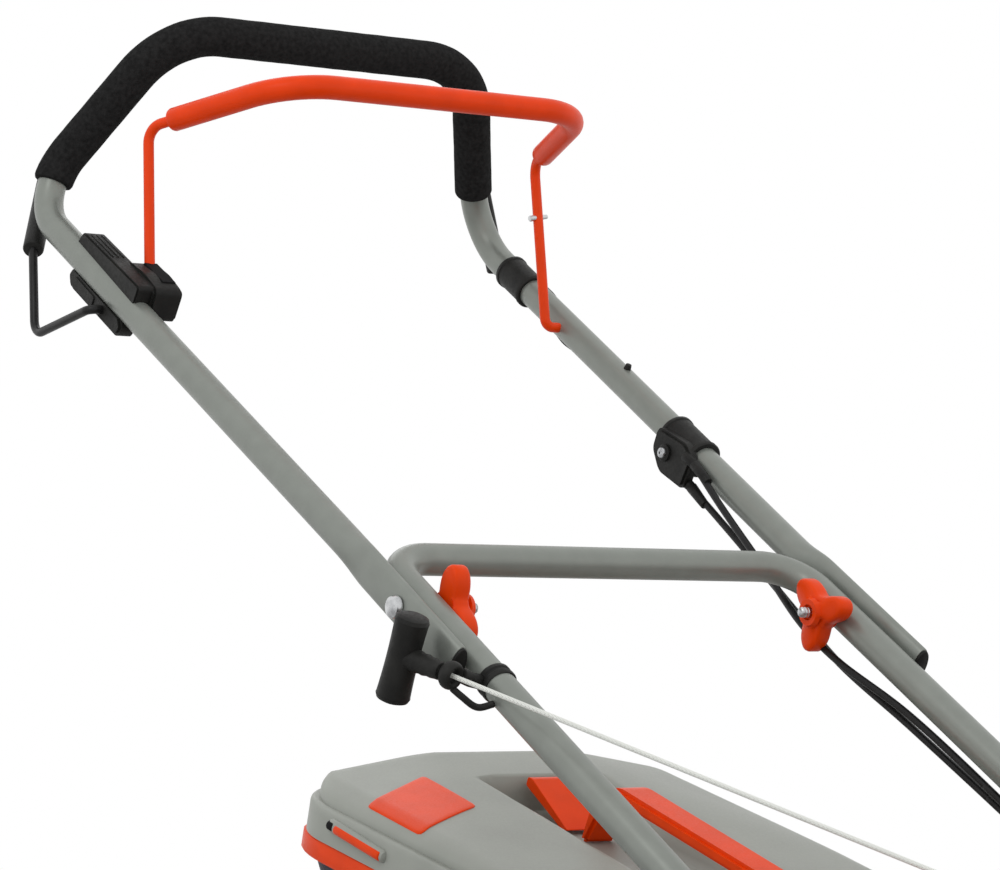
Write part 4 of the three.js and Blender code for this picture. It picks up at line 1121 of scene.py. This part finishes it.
def level_flap():
    y0, z0 = 583, 50
    corners = [[-58, -22, 2], [-52, -24, 2], [4, -3, 2], [3, 4, 2], [-3, 4, 2]]
    corners = [[u + y0, v + z0, r] for u, v, r in corners]
    flap = slab("indicator_flap", corners, in_lid, -18, 18, ORANGE, bevel=0.9)
    finished(flap, "level_flap", "level_flap")


def lid_panel(name, corners, rise, finish, sink=2.5):
    """A plate that follows the lid's surface inside an outline, standing a little above it."""
    steps = 10
    loops = []
    outline = [V((p.x, p.y, 0)) for p in rounded(corners, 4)]
    outline = resampled(outline + outline[:1], 80)[:-1]
    centre = sum(outline, V((0, 0, 0))) / len(outline)
    layers = [(1, -sink), (1, rise - 0.8), (0.985, rise - 0.2), (0.96, rise)]
    layers += [(0.96 * (1 - k / steps), rise) for k in range(1, steps)]
    for scale, up in layers:
        inner = [centre + (p - centre) * scale for p in outline]
        loops.append([in_collector((q.x, q.y, lid_height(q.x, q.y) + up)) for q in inner])
    return finished(piece(name, *rings(loops), finish), "collector")


def lid_details():
    """A plain orange plate, and the latch bar in its slot on the right side."""
    lid_panel("lid_plate", [[-175, 500, 4], [-105, 530, 4], [-105, 605, 4], [-175, 575, 4]], 1.4,
              ORANGE)

    def on_skirt(y, z, out=0.0):
        return in_collector((-half_width(y) - out, y, z))

    slot = sweep("latch_slot", split_long([on_skirt(594, 17), on_skirt(518, 13)], 12), 5.4, LID,
                 sides=20, ends=4)
    finished(slot, "collector")
    bar = sweep("latch_bar", split_long([on_skirt(582, 16, 2.4), on_skirt(521, 13, 2.4)], 12),
                4, ORANGE, sides=20, ends=1)
    finished(bar, "collector")
    # a near-black plug painted as the shade inside the latch's hole
    hole = sweep("latch_hole_shade", [on_skirt(592, 17, 2), on_skirt(584, 16.5, 2)], 4, HOLE_SHADE,
                 sides=20, ends=1)
    finished(hole, "collector")


# ------------------------------------------------------------------ running gear, deck and engine


def refined(node, width=0.8, angle=30):
    """A finer copy of a CAD node: its hard edges rounded over and its round faces shaded smooth."""
    mesh = nodes[node].data.copy()
    obj = bpy.data.objects.new(f"{node}_fine", mesh)
    bpy.context.scene.collection.objects.link(obj)
    finish = FINISHES[NODE_SLOT[node]]
    mesh.materials.clear()
    mesh.materials.append(finish.material)
    bm = bmesh.new()
    bm.from_mesh(mesh)
    bmesh.ops.remove_doubles(bm, verts=bm.verts, dist=0.01 * MM)
    bmesh.ops.dissolve_limit(bm, angle_limit=math.radians(1), verts=bm.verts, edges=bm.edges)
    limit = math.radians(angle)
    sharp = [e for e in bm.edges if len(e.link_faces) == 2 and e.calc_face_angle(0) > limit
             and e.calc_length() > 2 * width * MM]
    bmesh.ops.bevel(bm, geom=sharp, offset=width * MM, segments=2, affect="EDGES", clamp_overlap=True)
    bm.to_mesh(mesh)
    bm.free()
    for polygon in mesh.polygons:
        polygon.material_index = 0
    shade(obj, 28)
    return finished(obj, nodes[node]["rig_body"], node)


WHEELS = {
    "rear": {"y": -190, "z": 120, "r": 120, "inner": 232, "outer": 280, "rim": 86},
    "front": {"y": -750, "z": 100, "r": 100, "inner": 225, "outer": 275, "rim": 70},
}


def tyre(end, side):
    """A tyre with a rounded shoulder and a tread of slanted blocks in three rows."""
    w = WHEELS[end]
    r, rim, low, high = w["r"], w["rim"], w["inner"], w["outer"]
    sides = 240
    blocks = 40
    profile = [(rim, low + 1), (rim + 3, low), (r - 14, low), (r - 7, low + 1.5),
               (r - 2.5, low + 5), (r, low + 8)]
    tread = [low + 8 + (high - low - 16) * k / 12 for k in range(1, 13)]
    profile += [(r, x) for x in tread]
    profile += [(r - 2.5, high - 5), (r - 7, high - 1.5), (r - 14, high), (rim + 3, high), (rim, high - 1)]
    loops = []
    middle = (low + high) / 2
    for radius, x in profile:
        loop = []
        for k in range(sides):
            angle = 2 * math.pi * k / sides
            cut = 0.0
            if radius > r - 6:
                slant = (x - middle) / (high - low) * 1.6
                phase = (blocks * angle / (2 * math.pi) + abs(slant)) % 1
                row = abs(x - middle) / (high - low)
                if phase < 0.3 or 0.1 < row < 0.16:
                    cut = 2.6
            a = angle
            loop.append(V((side * x, w["y"] + (radius - cut) * math.sin(a),
                           w["z"] - (radius - cut) * math.cos(a))))
        loops.append(loop)
    loops.append(loops[0])
    verts, faces = rings(loops, close_ends=False)
    total = (len(loops) - 1) * sides
    obj = piece(f"{end}_tread_{SIDE_NAME[side]}", verts[:total],
                [tuple(i % total for i in face) for face in faces], RUBBER, 30)
    finished(obj, f"{end}_wheel_{SIDE_NAME[side]}", f"{end}_tyre_{SIDE_NAME[side]}")


def rim(end, side):
    """A moulded wheel: a dished disc with raised spokes and a stepped hub."""
    w = WHEELS[end]
    name = SIDE_NAME[side]
    y, z, outer, inner, r = w["y"], w["z"], w["outer"], w["inner"], w["rim"] - 0.6
    drum = w["rim"] - 19
    profile = [(8, inner + 4), (21, inner + 4), (22, inner + 5), (22, outer - 18), (drum, outer - 18),
               (drum, inner + 3), (drum + 1, inner + 2), (r - 1, inner + 2), (r, inner + 3), (r, outer - 3),
               (r - 1, outer - 2), (r - 7, outer - 2), (r - 9, outer - 3), (r - 12, outer - 10),
               (28, outer - 12),
               (25, outer - 10), (23, outer - 2), (22, outer - 1), (8.4, outer - 1),
               (8, outer - 1.4), (8, inner + 4)]
    disc = turned("wheel_disc", profile, (side, 0, 0), (0, y, z), BLACK, 72)
    spokes = []
    for k in range(6):
        a = 2 * math.pi * k / 6
        out = V((0, math.sin(a), math.cos(a)))
        cross = V((0, math.cos(a), -math.sin(a)))
        centre = V((0, y, z))

        def place(u, v, x, out=out, cross=cross, centre=centre):
            return centre + out * u + cross * v + V((side * x, 0, 0))

        spokes.append(slab("spoke", [[24, -9, 2], [r - 10, -5, 2], [r - 10, 5, 2], [24, 9, 2]], place,
                           outer - 13, outer - 5, BLACK, bevel=1.8))
    finished(joined(f"{end}_rim_shell_{name}", [disc, *spokes]), f"{end}_wheel_{name}", f"{end}_rim_{name}")


def screws_on(names_and_spots, axis, r, body):
    for name, spot in names_and_spots:
        finished(screw(name, spot, axis, r), body)


def engine_details():
    """Near-black plates painted as the shade in the starter cover's cooling slots, a cap and screws on the
    starter cover, the ignition lead, and ribs on two covers.
    """
    for k in range(30):
        a = 2 * math.pi * k / 30
        out, cross = V((math.cos(a), math.sin(a), 0)), V((-math.sin(a), math.cos(a), 0))

        def place(u, v, w, out=out, cross=cross):
            return V((0, BLADE_Y, 0)) + out * u + cross * v + V((0, 0, w))

        # each cooling slot is a near-black plate painted as the shade inside it
        slot = slab(f"cooling_slot_shade_{k}", [[40, -2, 1.5], [80, -4, 2], [80, 4, 2], [40, 2, 1.5]], place,
                    RECOIL_TOP - 6, RECOIL_TOP - 1.2, HOLE_SHADE, bevel=0.5)
        finished(slot, "mower")
    cap = [(0, -2), (32, -2), (34, 0), (33, 2.5), (24, 4), (0, 4.6)]
    finished(turned("starter_cap", cap, (0, 0, 1), (0, BLADE_Y, RECOIL_TOP), BLACK, 60), "mower")
    spots = [(f"cover_screw_{k}", (98 * math.cos(a), BLADE_Y + 98 * math.sin(a), 262 + 34))
             for k, a in enumerate(math.radians(d) for d in (20, 110, 200, 290))]
    screws_on(spots, (0, 0, 1), 4.2, "mower")
    lead = curved([(0, -688, 176), (24, -700, 186), (52, -672, 214), (60, -640, 226), (56, -600, 228)], 50)
    finished(sweep("ignition_lead", lead, 3.4, JACKET, sides=14, ends=0.4), "mower")
    for k in range(6):
        z = 186 + 12 * k
        rib = slab(f"filter_rib_{k}",
                   [[-592, z, 1], [-486, z, 1], [-486, z + 4, 1], [-592, z + 4, 1]], across_x,
                   -173.4, -171, BLACK, bevel=0.7)
        finished(rib, "mower")
    for k in range(16):
        a = 2 * math.pi * k / 16
        spot = V((FILLER[0] + 23.2 * math.cos(a), FILLER[1] + 23.2 * math.sin(a), 280))
        finished(rod(f"cap_rib_{k}", spot, spot + V((0, 0, 11)), 1.7, BLACK, sides=10), "fuel_cap")


def deck_details():
    """A rolled lip along the round sides of the skirt, and the deck bolts."""
    lip = []
    for k in range(121):
        a = math.radians(-128 + 256 * k / 120) + math.pi * 1.5
        lip.append(V((DECK_R * math.cos(a), BLADE_Y + DECK_R * math.sin(a), 41)))
    for k, part in enumerate((lip[22:48], lip[73:99])):
        rolled = sweep(f"skirt_lip_{k}", part, 3, DECK_PAINT, sides=14, ends=1)
        finished(rolled, "mower")
    spots = [(f"deck_bolt_{k}", (x, y, DECK_TOP)) for k, (x, y) in
             enumerate(((-120, -700), (120, -700), (-150, -640), (150, -360), (-150, -360), (0, -760)))]
    screws_on(spots, (0, 0, 1), 6, "mower")


def gear_details():
    for side in SIDES:
        name = SIDE_NAME[side]
        for end, w in WHEELS.items():
            spot = (side * (w["outer"] + 2.6), w["y"], w["z"])
            body = "rear_arms" if end == "rear" else "front_axle"
            finished(screw(f"axle_cap_{end}_{name}", spot, (side, 0, 0), 7, socket=False), body)
        spot = (side * 220.8, *HANDLE_PIVOT)
        finished(screw(f"pivot_head_{name}", spot, (side, 0, 0), 7, socket=False), "mower")


REPLACED_BY_HAND = {
    "upper_handle_tube", "foam_grip", "engine_brake_bail", "engine_brake_bail_grip", "drive_bail",
    "drive_bail_grip", "control_housing", "drive_cable_housing", "drive_bail_bracket", "cable_clamp",
    "lower_handle_tube", "handle_bolt_left", "handle_bolt_right", "handle_knob_left", "handle_knob_right",
    "rope_guide", "starter_grip", "starter_rope", "engine_stop_cable", "drive_cable", "collector_lid",
    "collector_trim", "collector_bag", "collector_handle", "level_flap",
}


def rest_of_the_machine():
    wheels = {f"{end}_{part}_{SIDE_NAME[side]}"
              for end in WHEELS for part in ("tyre", "rim") for side in SIDES}
    for node in sorted(set(nodes) - REPLACED_BY_HAND - wheels):
        refined(node)


# ------------------------------------------------------------------ stage


def plain(name, colour, roughness):
    made = Surface(name, roughness)
    made.colour(made.noise(3, 2), colour, mixed(colour, 1.01))
    return made.material


FLOOR_HALF = 3.0


def studio():
    floor_mesh = bpy.data.meshes.new("floor")
    bm = bmesh.new()
    bmesh.ops.create_grid(bm, x_segments=1, y_segments=1, size=FLOOR_HALF)
    bm.to_mesh(floor_mesh)
    bm.free()
    floor_mesh.materials.append(plain("floor_pale", (0.5, 0.5, 0.5), 0.9))
    floor = bpy.data.objects.new("floor", floor_mesh)
    floor.location = (0, 0, -0.001)
    bpy.context.scene.collection.objects.link(floor)

    world = bpy.data.worlds.new("studio")
    bpy.context.scene.world = world
    world.use_nodes = True
    world.node_tree.nodes["Background"].inputs["Color"].default_value = (1, 1, 1, 1)
    world.node_tree.nodes["Background"].inputs["Strength"].default_value = 1.0
    bpy.context.scene.view_settings.view_transform = "Standard"  # keeps the white and the orange pure

    target = V((0, 0.4, 0.7))
    for name, place, size, power in LIGHTS:
        lamp = bpy.data.lights.new(name, "AREA")
        lamp.shape = "RECTANGLE"
        lamp.size, lamp.size_y = size
        lamp.energy = power
        obj = bpy.data.objects.new(name, lamp)
        obj.location = place
        obj.rotation_mode = "QUATERNION"
        obj.rotation_quaternion = (target - V(place)).to_track_quat("-Z", "Y")
        bpy.context.scene.collection.objects.link(obj)


LIGHTS = (
    ("key", (-2.2, -0.6, 2.6), (1.2, 1.2), 9),
    ("fill", (1.8, -2.2, 1.4), (1.6, 1.6), 1),
    ("rim", (0.8, 2.8, 2.2), (1.6, 0.8), 5),
)

CAMERA_AT = V((-1.8348, -2.0973, 0.4694))
CAMERA_AIM = V((0, 0.4693, 0.6649))
LENS, SENSOR = 140.08, 36


def camera():
    data = bpy.data.cameras.new("camera")
    data.lens, data.sensor_width = LENS, SENSOR
    data.clip_end = 100
    obj = bpy.data.objects.new("camera", data)
    obj.location = CAMERA_AT
    obj.rotation_mode = "QUATERNION"
    obj.rotation_quaternion = (CAMERA_AIM - CAMERA_AT).to_track_quat("-Z", "Y")
    bpy.context.scene.collection.objects.link(obj)
    bpy.context.scene.camera = obj


# ------------------------------------------------------------------ assembly

upper_tube()
foam_grip()
brake_bail()
drive_bail()
control_housing()
drive_cable_housing()
drive_bail_bracket()
cable_clamp()
lower_tube()
for hand in SIDES:
    handle_bolt(hand)
    handle_knob(hand, 8 if hand == LEFT else 75)
rope_guide()
starter_grip()
starter_rope()
cables()
collector_lid()
collector_trim()
collector_bag()
carry_handle()
level_flap()
lid_details()
for wheel_end in WHEELS:
    for hand in SIDES:
        tyre(wheel_end, hand)
        rim(wheel_end, hand)
rest_of_the_machine()
engine_details()
deck_details()
gear_details()
studio()
camera()
